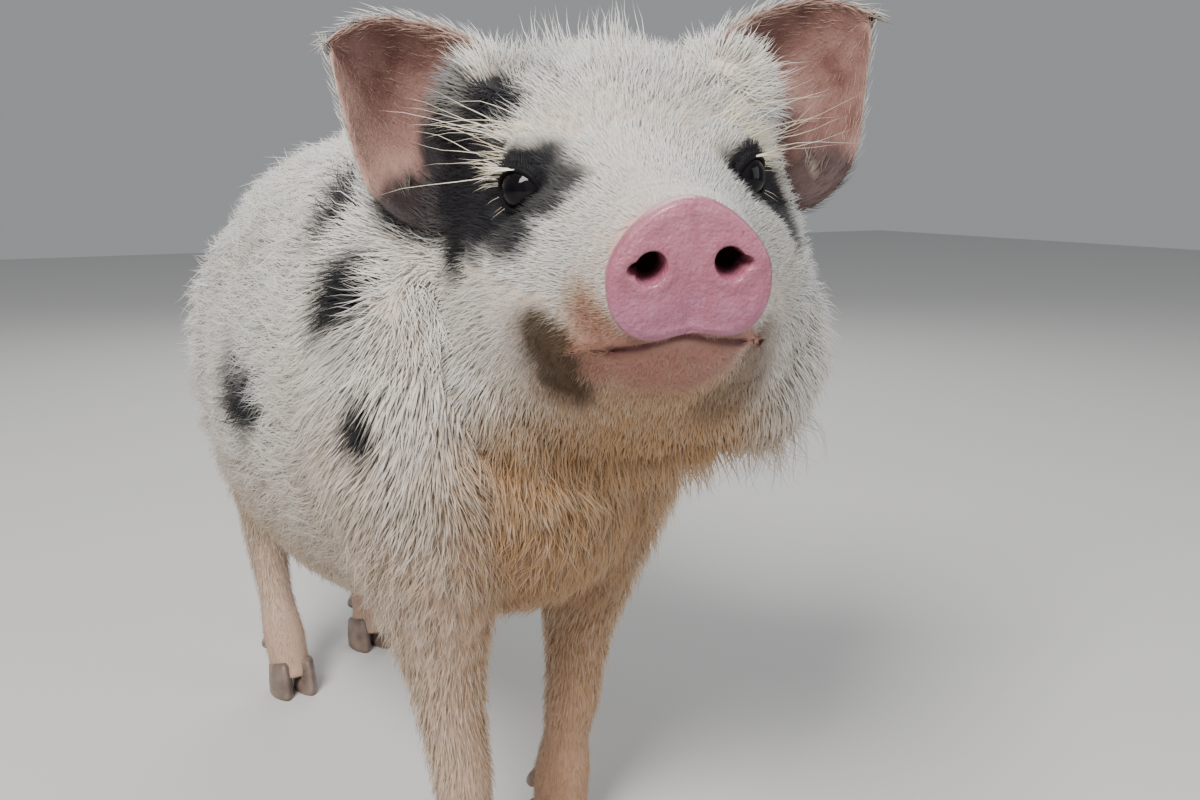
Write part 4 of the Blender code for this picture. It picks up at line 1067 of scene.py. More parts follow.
partColours = {
    "snoutBelow": (0.345, 0.120, 0.195),
    "snoutMiddle": (0.355, 0.108, 0.158),
    "snoutTop": (0.455, 0.165, 0.225),
    "snoutMottle": (0.32, 0.082, 0.122),
    "snoutPale": (0.46, 0.21, 0.29),
    "snoutFleck": (0.24, 0.055, 0.07),
    # Painted shade for the disc's downward-facing lower rim
    "snoutUnderShade": (0.20, 0.055, 0.062),
    # Near-black painted shade inside the nostrils
    "nostril": (0.012, 0.004, 0.005),
    "eyeBall": (0.010, 0.008, 0.010),
    "iris": (0.0045, 0.0035, 0.0045),
    "pupil": (0.0015, 0.0015, 0.003),
    "lid": (0.004, 0.0035, 0.004),
    "hornPale": (0.26, 0.185, 0.145),
    "hornDark": (0.105, 0.078, 0.064),
}


def coatMaterial():
    colours = coatColours
    material, tree, shader = newMaterial("coatHair", 0.6)
    shader.inputs["Specular IOR Level"].default_value = 0.25
    tone, along = attribute(tree, "tone"), attribute(tree, "along")
    # Noise for painted shade between the tufts of hair
    tuftShade = scaled(tree, noiseValue(tree, 180.0), 0.38, 0.60)
    colour = colours["white"]
    # Strands turn towards the shade colour by their random tone, by the painted shade between tufts,
    # and by painted shade near their roots
    for share, full, least in ((tone, 1.0, 0.20), (tuftShade, 1.0, 0.50), (along, 0.7, 0.15)):
        colour = mixColour(tree, colours["shade"], colour, scaled(tree, share, 0.0, full, least))
    patchy = scaled(tree, noiseValue(tree, 38.0), 0.40, 0.66, 0.0, 0.38)
    colour = mixColour(tree, colour, colours["cream"], patchy)
    # Tints are weaker in the painted shade between tufts, towards the tips, and on some strands by
    # their random tone
    for name, least, most, pale in (("rosy", 0.80, 0.95, 0.74), ("tan", 0.80, 0.96, 0.74),
                                    ("flush", 0.85, 0.95, 0.86), ("stainAndShade", 0.90, 1.0, 1.0)):
        tinted = attribute(tree, name)
        for share in (scaled(tree, tuftShade, 1.0, 0.0, least, most),
                      scaled(tree, along, 0.35, 1.0, 1.0, pale),
                      scaled(tree, tone, 0.35, 1.0, 1.0, pale)):
            tinted = multiplied(tree, tinted, share)
        colour = mixColour(tree, colour, colours[name], tinted)
    # Painted shade at the roots of the hair
    colour = mixColour(tree, colour, colours["rootShade"],
                       scaled(tree, along, 0.0, 0.55, 0.65, 0.0), "MULTIPLY")
    earHair = mixColour(tree, colours["earHairDark"], colours["earHairPale"], tone)
    colour = mixColour(tree, colour, earHair,
                       scaled(tree, attribute(tree, "earInside"), 0.0, 1.0, 0.0, 0.9))
    dark = mixColour(tree, colours["black"], colours["blackTip"], tone)
    colour = mixColour(tree, colour, dark, attribute(tree, "black"))
    tree.links.new(colour, shader.inputs["Base Color"])
    return material


def skinMaterial():
    colours = coatColours
    material, tree, shader = newMaterial("skinPink", 0.6)
    shader.inputs["Specular IOR Level"].default_value = 0.3
    colour = mixColour(tree, colours["skinPink"], colours["skinRed"],
                       scaled(tree, noiseValue(tree, 60.0), 0.35, 0.7))
    colour = mixColour(tree, colour, colours["skinPale"],
                       scaled(tree, attribute(tree, "bare"), 0.0, 1.0, 0.80, 0.30))
    for name, wanted in (("rosy", "skinRosy"), ("tan", "skinTan")):
        colour = mixColour(tree, colour, colours[wanted],
                           scaled(tree, attribute(tree, name), 0.0, 1.0, 0.0, 0.8))
    earTone = mixColour(tree, colours["earPink"], colours["earDeep"],
                        scaled(tree, noiseValue(tree, 75.0, 5.0), 0.42, 0.66))
    # Painted light on the shaded outer half of the right ear's inside
    earTone = mixColour(tree, earTone, colours["earPaintedLightTone"], attribute(tree, "earPaintedLight"))
    # The mouth line's dark colour is painted shadow in its crease, and the stain mask also carries
    # painted shade
    for name, wanted in (("flush", colours["flush"]), ("earInside", earTone),
                         ("stainAndShade", colours["stainAndShade"]), ("black", colours["skinBlack"]),
                         ("mouth", colours["lips"])):
        colour = mixColour(tree, colour, wanted, attribute(tree, name))
    tree.links.new(colour, shader.inputs["Base Color"])
    bumped(tree, shader, noiseValue(tree, 900.0, 4.0), 0.5, 0.0006)
    return material


# Coat by Geometry Nodes
def strandTemplates(name, ratio, segments, strands, wave, rise, count=6):
    # Closed three-sided tapered strands of unit length along +Y, some bunched into a clump
    group = bpy.data.collections.new(name)
    draw = random.Random(len(name) + 5)
    for number in range(count):
        mesh = bmesh.new()
        patch = mesh.loops.layers.float_vector.new("patch")
        reached = mesh.verts.layers.float.new("along")
        for strand in range(strands):
            turn = math.tau * strand / strands + draw.random()
            base = Vector((math.cos(turn), math.sin(turn) * 0.8, 0)) * (0.09 if strands > 1 else 0)
            phase, sway = draw.uniform(0, math.tau), wave * draw.uniform(0.4, 1.2)
            bend = draw.uniform(-1, 1) * wave * 1.6
            reach = draw.uniform(0.82, 1.05)
            loops = []
            for step in range(segments + 1):
                t = step / segments
                close = 1 - 0.75 * t
                x = base.x * close + sway * math.sin(phase + t * 5) * t + bend * t * t
                y = base.y * close + t * reach
                z = rise * (1 - (1 - t) ** 2) * (1 + 0.15 * math.sin(phase))
                half = ratio * 0.5 * (0.75 + 0.5 * math.sin(math.pi * min(1, t * 1.3 + 0.15)))
                half *= (1 - t) ** 0.4 if t < 1 else 0
                middle = Vector((x, y, z - 0.04 * (step == 0)))
                if step == segments:
                    loops.append([mesh.verts.new(middle)])
                else:
                    loops.append([mesh.verts.new(middle + offset) for offset in
                                  (Vector((-half, 0, 0)), Vector((half, 0, 0)),
                                   Vector((0, 0, half * 1.1)))])
                for vert in loops[-1]:
                    vert[reached] = t
            v = [step / segments for step in range(segments + 1)]
            for step in range(segments):
                near, far = loops[step], loops[step + 1]
                for corner in range(3):
                    after = (corner + 1) % 3
                    u0, u1 = corner / 3, (corner + 1) / 3
                    if len(far) == 1:
                        face = mesh.faces.new((near[corner], near[after], far[0]))
                        spots = ((u0, v[step]), (u1, v[step]), ((u0 + u1) / 2, v[step + 1]))
                    else:
                        face = mesh.faces.new((near[corner], near[after], far[after], far[corner]))
                        spots = ((u0, v[step]), (u1, v[step]), (u1, v[step + 1]),
                                 (u0, v[step + 1]))
                    for loop, spot in zip(face.loops, spots):
                        loop[patch] = (*spot, 0)
                    face.smooth = True
            cap = mesh.faces.new(loops[0][::-1])
            for loop, spot in zip(cap.loops, ((0, 0), (0.3, 0), (0.15, 0.1))):
                loop[patch] = (*spot, 0)
        bmesh.ops.recalc_face_normals(mesh, faces=mesh.faces)
        data = bpy.data.meshes.new(name)
        mesh.to_mesh(data)
        mesh.free()
        group.objects.link(bpy.data.objects.new(f"{name}_{number}", data))
    return group


def bristleTree():
    # Node group that scatters strands on the faces, lays them along the flow and makes them solid
    tree = bpy.data.node_groups.new("bristles", "GeometryNodeTree")
    for name, kind, way in (("Geometry", "Geometry", "INPUT"), ("Density", "Float", "INPUT"),
                            ("Spread", "Float", "INPUT"), ("Lift", "Float", "INPUT"),
                            ("Seed", "Int", "INPUT"), ("Shortest", "Float", "INPUT"),
                            ("Strands", "Collection", "INPUT"), ("Material", "Material", "INPUT"),
                            ("Geometry", "Geometry", "OUTPUT")):
        tree.interface.new_socket(name=name, in_out=way, socket_type="NodeSocket" + kind)
    given = newNode(tree, "NodeGroupInput").outputs

    def named(name, kind):
        return newNode(tree, "GeometryNodeInputNamedAttribute", {"Name": name},
                       data_type=kind).outputs["Attribute"]

    def stored(geometry, name, kind, value, domain="POINT"):
        return newNode(tree, "GeometryNodeStoreNamedAttribute",
                       {"Geometry": geometry, "Name": name, "Value": value},
                       data_type=kind, domain=domain).outputs["Geometry"]

    def vectorMath(operation, first, second):
        name = "Scale" if operation == "SCALE" else 1
        return newNode(tree, "ShaderNodeVectorMath", {0: first, name: second},
                       operation=operation).outputs[0]

    def chance(kind, low, high, offset):
        seed = newNode(tree, "ShaderNodeMath", {0: given["Seed"], 1: offset}, operation="ADD")
        first, output = {"FLOAT_VECTOR": (0, 0), "FLOAT": (2, 1), "INT": (4, 2)}[kind]
        return newNode(tree, "FunctionNodeRandomValue",
                       {first: low, first + 1: high, "Seed": seed.outputs[0]},
                       data_type=kind).outputs[output]

    scatter = newNode(tree, "GeometryNodeDistributePointsOnFaces",
                      {"Mesh": given["Geometry"], "Seed": given["Seed"],
                       "Density": multiplied(tree, given["Density"], named("grow", "FLOAT"))},
                      distribute_method="RANDOM")
    normal = scatter.outputs["Normal"]
    roots = stored(scatter.outputs["Points"], "rootNormal", "FLOAT_VECTOR", normal)
    roots = stored(roots, "tone", "FLOAT", chance("FLOAT", 0.0, 1.0, 11))
    stray = vectorMath("SCALE", chance("FLOAT_VECTOR", (-1, -1, -1), (1, 1, 1), 21), given["Spread"])
    raised = vectorMath("SCALE", normal, given["Lift"])
    way = vectorMath("ADD", vectorMath("ADD", named("flow", "FLOAT_VECTOR"), stray), raised)
    turn = newNode(tree, "FunctionNodeAxesToRotation",
                   {"Primary Axis": way, "Secondary Axis": normal},
                   primary_axis="Y", secondary_axis="Z")
    length = multiplied(tree, named("hairLength", "FLOAT"),
                        chance("FLOAT", given["Shortest"], 1.15, 31))
    shapes = newNode(tree, "GeometryNodeCollectionInfo",
                     {"Collection": given["Strands"], "Separate Children": True})
    put = newNode(tree, "GeometryNodeInstanceOnPoints",
                  {"Points": roots, "Instance": shapes.outputs["Instances"], "Pick Instance": True,
                   "Instance Index": chance("INT", 0, 5, 41), "Scale": length,
                   "Rotation": turn.outputs["Rotation"]})
    solid = newNode(tree, "GeometryNodeRealizeInstances", {"Geometry": put.outputs["Instances"]})
    # Each strand has a small patch of the bake map round its root's place
    middle = vectorMath("ADD", named("patch", "FLOAT_VECTOR"), (-0.5, -0.5, 0.0))
    small = vectorMath("MULTIPLY", middle, (0.003, 0.003, 0.0))
    spot = vectorMath("ADD", named("rootUv", "FLOAT_VECTOR"), small)
    baked = stored(solid.outputs["Geometry"], "OFBake", "FLOAT2", spot, "CORNER")
    coloured = newNode(tree, "GeometryNodeSetMaterial",
                       {"Geometry": baked, "Material": given["Material"]})
    newNode(tree, "NodeGroupOutput", {0: coloured.outputs["Geometry"]})
    return tree


def soften(data):
    # Shades each strand partly as the skin under it, as fine hair looks
    rooted = vectorArray(data.attributes["rootNormal"].data, "vector")
    mixed = unit(normalArray(data) * 0.45 + rooted * 0.55)
    data.normals_split_custom_set_from_vertices(mixed.tolist())


emitterTriangles = 60000


def grow(emitter, name, tree, **use):
    # Grows one coat piece from an emitter and returns it as a plain mesh
    modifier = emitter.modifiers.new("bristles", "NODES")
    modifier.node_group = tree
    for socket in tree.interface.items_tree:
        if socket.in_out == "INPUT" and socket.name in use:
            modifier[socket.identifier] = use[socket.name]
    graph = bpy.context.evaluated_depsgraph_get()
    data = bpy.data.meshes.new_from_object(emitter.evaluated_get(graph))
    emitter.modifiers.remove(modifier)
    soften(data)
    dropAttributes(data, spareNames)
    data.name = name
    return newObject(name, data)


def makeEmitter(skin):
    # Thinner, unwrapped copy of the skin for the coat to grow on
    emitter = newObject("emitter", skin.data.copy())
    dropAttributes(emitter.data, renewedNames)
    thin = emitter.modifiers.new("thin", "DECIMATE")
    thin.ratio = emitterTriangles / triangles(emitter)
    thin.use_collapse_triangulate = True
    applyModifiers(emitter)
    for other in bpy.context.selected_objects:
        other.select_set(False)
    emitter.select_set(True)
    bpy.context.view_layer.objects.active = emitter
    bpy.ops.object.mode_set(mode="EDIT")
    bpy.ops.mesh.select_all(action="SELECT")
    bpy.ops.uv.smart_project(angle_limit=math.radians(66), island_margin=0.002)
    bpy.ops.object.mode_set(mode="OBJECT")
    emitter.data.uv_layers.active.name = "rootUv"
    return emitter


def faceRegions(data, plan, points):
    # Name of the coat piece for each face
    count = len(data.polygons)
    corners = np.array([face.vertices[:3] for face in data.polygons])
    middle = points[corners].mean(axis=1)

    def mean(values):
        return np.asarray(values)[corners].mean(axis=1)

    forward, left, up = (mean(plan["place"][:, axis]) for axis in range(3))
    names = np.full(count, "back", dtype=object)
    y, z, x = middle[:, 1], middle[:, 2], middle[:, 0]
    names[(z <= 0.255) & (x < 0)] = "flankRight"
    names[(z <= 0.255) & (x >= 0)] = "flankLeft"
    names[(z <= 0.135)] = "belly"
    names[(y > 0.115) & (z > 0.12)] = "rump"
    names[(y < -0.10) & (z > 0.225)] = "neck"
    names[(y < -0.10) & (z <= 0.225)] = "chest"
    head = mean(plan["head"]) > 0.5
    names[head & (up > -0.002) & (forward < 0.0)] = "crown"
    eyeGap = np.minimum(*(np.linalg.norm(middle - np.array(eyeAxes(side)[0]), axis=1)
                          for side, _ in sides))
    face = head & (((up > -0.022) & (forward >= 0.0)) | (eyeGap < 0.021))
    names[face & (left < 0)] = "faceRight"
    names[face & (left >= 0)] = "faceLeft"
    cheek = head & (names != "crown") & ~face
    names[cheek & (left < 0)] = "cheekRight"
    names[cheek & (left >= 0)] = "cheekLeft"
    names[cheek & (up < -0.058) & (forward > -0.01)] = "chin"
    names[cheek & (forward > 0.045)] = "chin"
    leg = mean(plan["leg"]) > 0.5
    names[leg & (y < 0)] = "forelegs"
    names[leg & (y >= 0)] = "hindlegs"
    names[mean(plan["tail"]) > 0.5] = "tail"
    ear = mean(plan["ear"]) > 0.5
    names[ear & (left < 0)] = "earRight"
    names[ear & (left >= 0)] = "earLeft"
    return names


def partOf(emitter, chosen):
    # Copy of the emitter with only the chosen faces
    data = emitter.data.copy()
    mesh = bmesh.new()
    mesh.from_mesh(data)
    mesh.faces.ensure_lookup_table()
    spare = [face for face, keep in zip(mesh.faces, chosen) if not keep]
    bmesh.ops.delete(mesh, geom=spare, context="FACES")
    mesh.to_mesh(data)
    mesh.free()
    return newObject("piece", data)


# Strand sets: width for each unit of length, segments, strands in a clump, wave and rise
coatUse = {
    "faceSet": {"ratio": 0.050, "segments": 2, "strands": 1, "wave": 0.03, "rise": 0.16},
    "crownSet": {"ratio": 0.024, "segments": 3, "strands": 2, "wave": 0.08, "rise": 0.20},
    "cheekSet": {"ratio": 0.024, "segments": 3, "strands": 2, "wave": 0.12, "rise": 0.18},
    "bodySet": {"ratio": 0.023, "segments": 2, "strands": 3, "wave": 0.14, "rise": 0.18},
    "legSet": {"ratio": 0.045, "segments": 2, "strands": 1, "wave": 0.04, "rise": 0.14},
    "bristleSet": {"ratio": 0.0095, "segments": 5, "strands": 1, "wave": 0.09, "rise": 0.20},
    "curlSet": {"ratio": 0.016, "segments": 5, "strands": 2, "wave": 0.22, "rise": 0.20},
}
# Strand set, density in strands or clumps per square metre, spread, lift
coatRegions = {
    "faceRight": ("faceSet", 1750000, 0.13, 0.07),
    "faceLeft": ("faceSet", 1650000, 0.13, 0.07),
    "crown": ("crownSet", 330000, 0.26, 0.16),
    "cheekRight": ("cheekSet", 300000, 0.18, 0.12),
    "cheekLeft": ("cheekSet", 280000, 0.18, 0.12),
    "chin": ("faceSet", 790000, 0.18, 0.08),
    "neck": ("bodySet", 140000, 0.22, 0.12),
    "chest": ("bodySet", 150000, 0.22, 0.12),
    "back": ("bodySet", 103000, 0.22, 0.12),
    "flankRight": ("bodySet", 118000, 0.22, 0.12),
    "flankLeft": ("bodySet", 100000, 0.22, 0.12),
    "belly": ("bodySet", 80000, 0.24, 0.12),
    "rump": ("bodySet", 95000, 0.22, 0.12),
    "forelegs": ("legSet", 340000, 0.15, 0.08),
    "hindlegs": ("legSet", 290000, 0.15, 0.08),
    "earRight": ("legSet", 620000, 0.20, 0.10),
    "earLeft": ("legSet", 620000, 0.20, 0.10),
    "tail": ("legSet", 600000, 0.25, 0.18),
}


# Strand set, centre and radius of the patch and way in the head's axes, length, density
longHairs = {
    "browRight": ("bristleSet", (-0.024, -0.041, 0.010), 0.017, (-0.16, -0.96, -0.10), 0.038, 26000),
    "browLeft": ("bristleSet", (-0.024, 0.040, 0.012), 0.015, (-0.20, 0.95, 0.06), 0.036, 55000),
    "browFineRight": ("crownSet", (-0.019, -0.040, 0.012), 0.012, (-0.45, -0.84, -0.12), 0.012, 75000),
    "browFineLeft": ("crownSet", (-0.017, 0.040, 0.011), 0.013, (-0.45, 0.84, -0.10), 0.014, 110000),
    "jowlCurls": ("curlSet", (-0.008, 0.050, -0.098), 0.017, (-0.30, 0.15, -0.9), 0.022, 150000),
    "beardRight": ("crownSet", (0.004, -0.040, -0.091), 0.019, (-0.30, -0.10, -0.95), 0.019, 190000),
    "beardMid": ("crownSet", (0.000, -0.013, -0.099), 0.018, (-0.30, 0.00, -0.95), 0.020, 190000),
    "beardLeft": ("crownSet", (-0.002, 0.016, -0.099), 0.018, (-0.30, 0.10, -0.95), 0.020, 190000),
    "pollTuft": ("crownSet", (-0.066, -0.006, 0.036), 0.026, (-0.55, 0.05, 0.45), 0.021, 42000),
}
# Spread and lift of the brow's pale bristles and of the other long hairs
longLay = {True: (0.30, 0.10), False: (0.45, 0.25)}
lashUse = {
    "upper": (82, 164),
    "lower": (100, 160),
    "steps": 24,
    "length": 0.0095,
    "lowerShare": 0.6,
    "density": 2600000,
    "lowerDensity": 500000,
    "overBall": 0.0015,
}
# First seed and shortest share of a hair's length
growUse = {"region": (3, 0.65), "long": (60, 0.45), "lash": (80, 0.6), "lid": (90, 0.6)}


def setFloat(data, name, value):
    found = data.attributes[name].data
    found.foreach_set("value", np.full(len(found), value, np.float32))


def longHairPatch(emitter, points, centre, radius, way, length):
    # Patch of the emitter where all hairs are long and lie one way
    near = np.linalg.norm(headPlaces(points) - np.array(centre), axis=1) < radius
    corners = np.array([face.vertices[:3] for face in emitter.data.polygons])
    piece = partOf(emitter, near[corners].all(axis=1))
    setFloat(piece.data, "hairLength", length)
    setFloat(piece.data, "grow", 1.0)
    normals = normalArray(piece.data)
    swept = np.tile(unit(np.array([way])) @ headMatrix, (len(normals), 1))
    along = unit(swept - normals * np.minimum(0, np.sum(swept * normals, axis=1))[:, None])
    piece.data.attributes["flow"].data.foreach_set("vector", along.astype(np.float32).ravel())
    return piece


def lashStrip(side, upper):
    # Narrow band along a lid's edge, with the way the lashes point
    axes = eyeAxes(side)
    _, gaze, along, _ = axes
    mesh = bmesh.new()
    patch = mesh.loops.layers.uv.new("rootUv")
    rows, ways = [], []
    steps = lashUse["steps"]
    first, last = lashUse["upper" if upper else "lower"]
    outward = along * side
    for step in range(steps + 1):
        turn = math.radians(first + (last - first) * step / steps)
        turn = turn if side < 0 else math.pi - turn
        turn = turn if upper else -turn
        radius = eyeUse["radius"] + lashUse["overBall"]
        rows.append([mesh.verts.new(lidPoint(axes, turn, push, radius)) for push in (1.2, 5.0)])
        if upper:
            way = gaze * 0.45 + outward * 0.75 - upAxis * (0.10 + 0.35 * step / steps)
        else:
            way = gaze * 0.55 + outward * 0.45 - upAxis * 0.65
        ways += [way.normalized()] * 2
    for step in range(steps):
        near, far = rows[step], rows[step + 1]
        face = mesh.faces.new((near[0], near[1], far[1], far[0]))
        for loop, spot in zip(face.loops, ((step, 0), (step, 1), (step + 1, 1), (step + 1, 0))):
            loop[patch].uv = (spot[0] / steps, 0.06 * spot[1])
    bmesh.ops.triangulate(mesh, faces=mesh.faces)
    mesh.normal_update()
    if mesh.faces[:][0].normal.dot(gaze) < 0:
        bmesh.ops.reverse_faces(mesh, faces=mesh.faces)
    strip = place(mesh, "strip")
    storeVector(strip.data, "flow", [tuple(way) for way in ways])
    length = lashUse["length"] * (1.0 if upper else lashUse["lowerShare"])
    for name, value in (("hairLength", length), ("grow", 1.0)):
        storeFloat(strip.data, name, np.full(len(ways), value))
    return strip


def paleMaterial():
    material, tree, shader = newMaterial("paleBristle", 0.45)
    colour = mixColour(tree, coatColours["bristleDark"], coatColours["bristlePale"],
                       attribute(tree, "tone"))
    tree.links.new(colour, shader.inputs["Base Color"])
    return material


def finishPiece(item, slot, *nodes):
    # Moves a piece from the body plan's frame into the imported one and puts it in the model
    item.data.transform(Matrix.Translation(centring))
    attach(item, "root")
    if nodes:
        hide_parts(*nodes)


# Snout disc
snoutUse = {
    "back": 0.0845,
    "half": (0.0222, 0.0210, 0.0200),
    "notch": (0.0042, 0.0108),
    "drop": 0.0020,
    "nostril": (0.0106, 0.0014),
    "nostrilHalf": (0.0040, 0.0042),
    "nostrilDepth": 0.0078,
    "rings": 84,
    "around": 192,
}


def snoutEdge(turn):
    # Narrower above, full lower lobes with a notch between them
    across, height = math.cos(turn), math.sin(turn)
    halfWidth, above, below = snoutUse["half"]
    if height >= 0:
        return across * halfWidth * (1.0 - 0.22 * height ** 1.4), height * above
    roundness = 2 / 2.6
    x = math.copysign(abs(across) ** roundness, across) * halfWidth
    depth, width = snoutUse["notch"]
    return x, depth * math.exp(-(x / width) ** 2) - abs(height) ** roundness * below


def nostrilGap(x, y):
    # 1 on the edge of the nearer nostril, which runs out into a slit at its side
    dx = (abs(x) - snoutUse["nostril"][0]) / snoutUse["nostrilHalf"][0]
    dy = (y - snoutUse["nostril"][1] - snoutUse["drop"]) / snoutUse["nostrilHalf"][1] + 0.12 * dx
    gap = math.hypot(dx, dy)
    if dx > 0:
        gap = min(gap, math.hypot(dx / 1.42, (dy - 0.10 * dx) / 0.58))
    return gap


def snoutDepth(x, y, share):
    # Height of the disc's face over its back
    dome = 0.0096 - 0.0007 * share ** 2
    rim = 0.0004 * math.exp(-((share - 0.90) / 0.08) ** 2)
    groove = 0.0008 * math.exp(-(x / 0.0026) ** 2) * (1 - 1 / (1 + math.exp(-(y + 0.006) / 0.0022)))
    lobes = 0.0010 * math.exp(-((abs(x) - 0.0115) / 0.0060) ** 2 - ((y + 0.0095) / 0.0050) ** 2)
    height = dome + rim - groove + lobes
    gap = nostrilGap(x, y)
    height += 0.0005 * math.exp(-((gap - 1.45) / 0.42) ** 2)
    t = min(1.0, max(0.0, (1.16 - gap) / 0.42))
    return height - snoutUse["nostrilDepth"] * t * t * (3 - 2 * t)


def makeSnout():
    rings, around = snoutUse["rings"], snoutUse["around"]
    mesh = bmesh.new()

    def spot(x, y, height):
        return inHead(snoutUse["back"] + height, x, y - snoutUse["drop"])

    centre = mesh.verts.new(spot(0, 0, snoutDepth(0, 0, 0)))
    loops = []
    for ring in range(1, rings + 1):
        share = ring / rings
        loop = []
        for step in range(around):
            x, y = snoutEdge(math.tau * step / around)
            x, y = x * share * 0.955, y * share * 0.955
            grain = 0.00006 * noise.noise(Vector((x, y, 0)) * 650)
            grain += 0.00003 * noise.noise(Vector((x, y, 0)) * 1500)
            loop.append(mesh.verts.new(spot(x, y, snoutDepth(x, y, share) + grain)))
        loops.append(loop)
    for size, height in ((0.985, 0.0086), (1.0, 0.0072), (1.0, 0.0050), (0.985, 0.0026),
                         (0.95, 0.0006), (0.90, -0.0016), (0.5, -0.0018)):
        loop = []
        for step in range(around):
            x, y = snoutEdge(math.tau * step / around)
            loop.append(mesh.verts.new(spot(x * size, y * size, height)))
        loops.append(loop)
    last = mesh.verts.new(spot(0, 0, -0.0018))
    for step in range(around):
        after = (step + 1) % around
        mesh.faces.new((centre, loops[0][step], loops[0][after]))
        mesh.faces.new((last, loops[-1][after], loops[-1][step]))
        for near, far in zip(loops, loops[1:]):
            mesh.faces.new((near[step], far[step], far[after], near[after]))
    snout = place(faceOut(mesh), "snoutDisc")
    shadeSmooth(snout)
    local = headPlaces(vertexArray(snout.data))
    hole = [1.0 - float(smooth(np.array(nostrilGap(x, y + snoutUse["drop"])), 0.72, 1.02))
            for x, y in local[:, 1:]]
    hole = np.array(hole) * (local[:, 0] > snoutUse["back"] + 0.0002)
    storeFloat(snout.data, "hole", hole)
    storeFloat(snout.data, "rise", (local[:, 2] + 0.0210) / 0.0400)
    # Downward-facing parts of the disc, for painted shade on its lower rim
    storeFloat(snout.data, "under", smooth(-(normalArray(snout.data) @ np.array(upAxis)), 0.15, 0.75))
    snout.data.materials.append(snoutMaterial())
    return snout


def snoutMaterial():
    colours = partColours
    material, tree, shader = newMaterial("snoutSkin", 0.38)
    rise = attribute(tree, "rise")
    colour = mixColour(tree, colours["snoutBelow"], colours["snoutMiddle"],
                       scaled(tree, rise, 0.25, 0.50))
    colour = mixColour(tree, colour, colours["snoutTop"], scaled(tree, rise, 0.55, 0.95))
    for name, scale, detail, low, high, most in (("snoutMottle", 170.0, 4.0, 0.40, 0.70, 0.65),
                                                 ("snoutPale", 420.0, 3.0, 0.50, 0.74, 0.35),
                                                 ("snoutFleck", 620.0, 2.0, 0.66, 0.74, 0.45)):
        colour = mixColour(tree, colour, colours[name],
                           scaled(tree, noiseValue(tree, scale, detail), low, high, 0.0, most))
    # Painted shade on the disc's lower rim, where its faces turn downwards
    colour = mixColour(tree, colour, colours["snoutUnderShade"],
                       scaled(tree, attribute(tree, "under"), 0.0, 1.0, 0.0, 0.8))
    hole = attribute(tree, "hole")
    # Painted shade: the nostrils' insides turn near-black
    colour = mixColour(tree, colour, colours["nostril"], hole)
    for name, dry in (("Coat Weight", 0.35), ("Specular IOR Level", 0.5)):
        tree.links.new(scaled(tree, hole, 0.0, 0.6, dry, 0.0), shader.inputs[name])
    tree.links.new(colour, shader.inputs["Base Color"])
    shader.inputs["Subsurface Weight"].default_value = 0.12
    shader.inputs["Subsurface Radius"].default_value = (0.004, 0.0015, 0.001)
    shader.inputs["Coat Roughness"].default_value = 0.13
    bumped(tree, shader, noiseValue(tree, 900.0, 4.0), 0.85, 0.0008)
    return material


# Eyes and lids
lidUse = {
    "halfAngles": (55.0, 38.0),
    "steps": 72,
    "ball": (64, 40),
    "hairs": 2600000.0,
}


def makeEye(side, word):
    # Ball with a flatter bulge over the pupil
    middle, gaze, along, across = eyeAxes(side)
    segments, rings = lidUse["ball"]
    radius = eyeUse["radius"]
    mesh = ellipsoidMesh(middle, (along, across, gaze), (radius, radius, radius), segments, rings)
    for vert in mesh.verts:
        out = (vert.co - middle).normalized().dot(gaze)
        vert.co += (vert.co - middle) * 0.035 * float(smooth(np.array(out), 0.80, 0.97))
    eye = place(mesh, "eyeBall" + word)
    shadeSmooth(eye)
    _, _, angle = fromGaze(vertexArray(eye.data), middle, gaze)
    storeFloat(eye.data, "iris", 1 - smooth(angle, 33, 37))
    storeFloat(eye.data, "pupil", 1 - smooth(angle, 13, 15))
    return eye


def eyeMaterial():
    material, tree, shader = newMaterial("eyeWet", 0.05)
    colour = mixColour(tree, partColours["eyeBall"], partColours["iris"], attribute(tree, "iris"))
    colour = mixColour(tree, colour, partColours["pupil"], attribute(tree, "pupil"))
    tree.links.new(colour, shader.inputs["Base Color"])
    shader.inputs["Specular IOR Level"].default_value = 0.16
    return material


def lidMaterial():
    material, tree, shader = newMaterial("lidSkin", 0.6, partColours["lid"])
    shader.inputs["Specular IOR Level"].default_value = 0.15
    bumped(tree, shader, noiseValue(tree, 1200.0), 0.5, 0.0005)
    return material


def lidEdge(turn):
    # Angles of the lids' edge from the gaze, along and across
    wide, high = (math.radians(value) for value in lidUse["halfAngles"])
    height = math.sin(turn)
    high *= 1.0 if height > 0 else 0.88
    return math.cos(turn) * wide, height * abs(height) ** 0.18 * high


def lidPoint(axes, turn, push, radius):
    middle, gaze, along, across = axes
    a, b = lidEdge(turn)
    angle = math.hypot(a, b)
    direction = (a / angle, b / angle)
    angle += math.radians(push)
    side = along * direction[0] + across * direction[1]
    return middle + (gaze * math.cos(angle) + side * math.sin(angle)) * radius


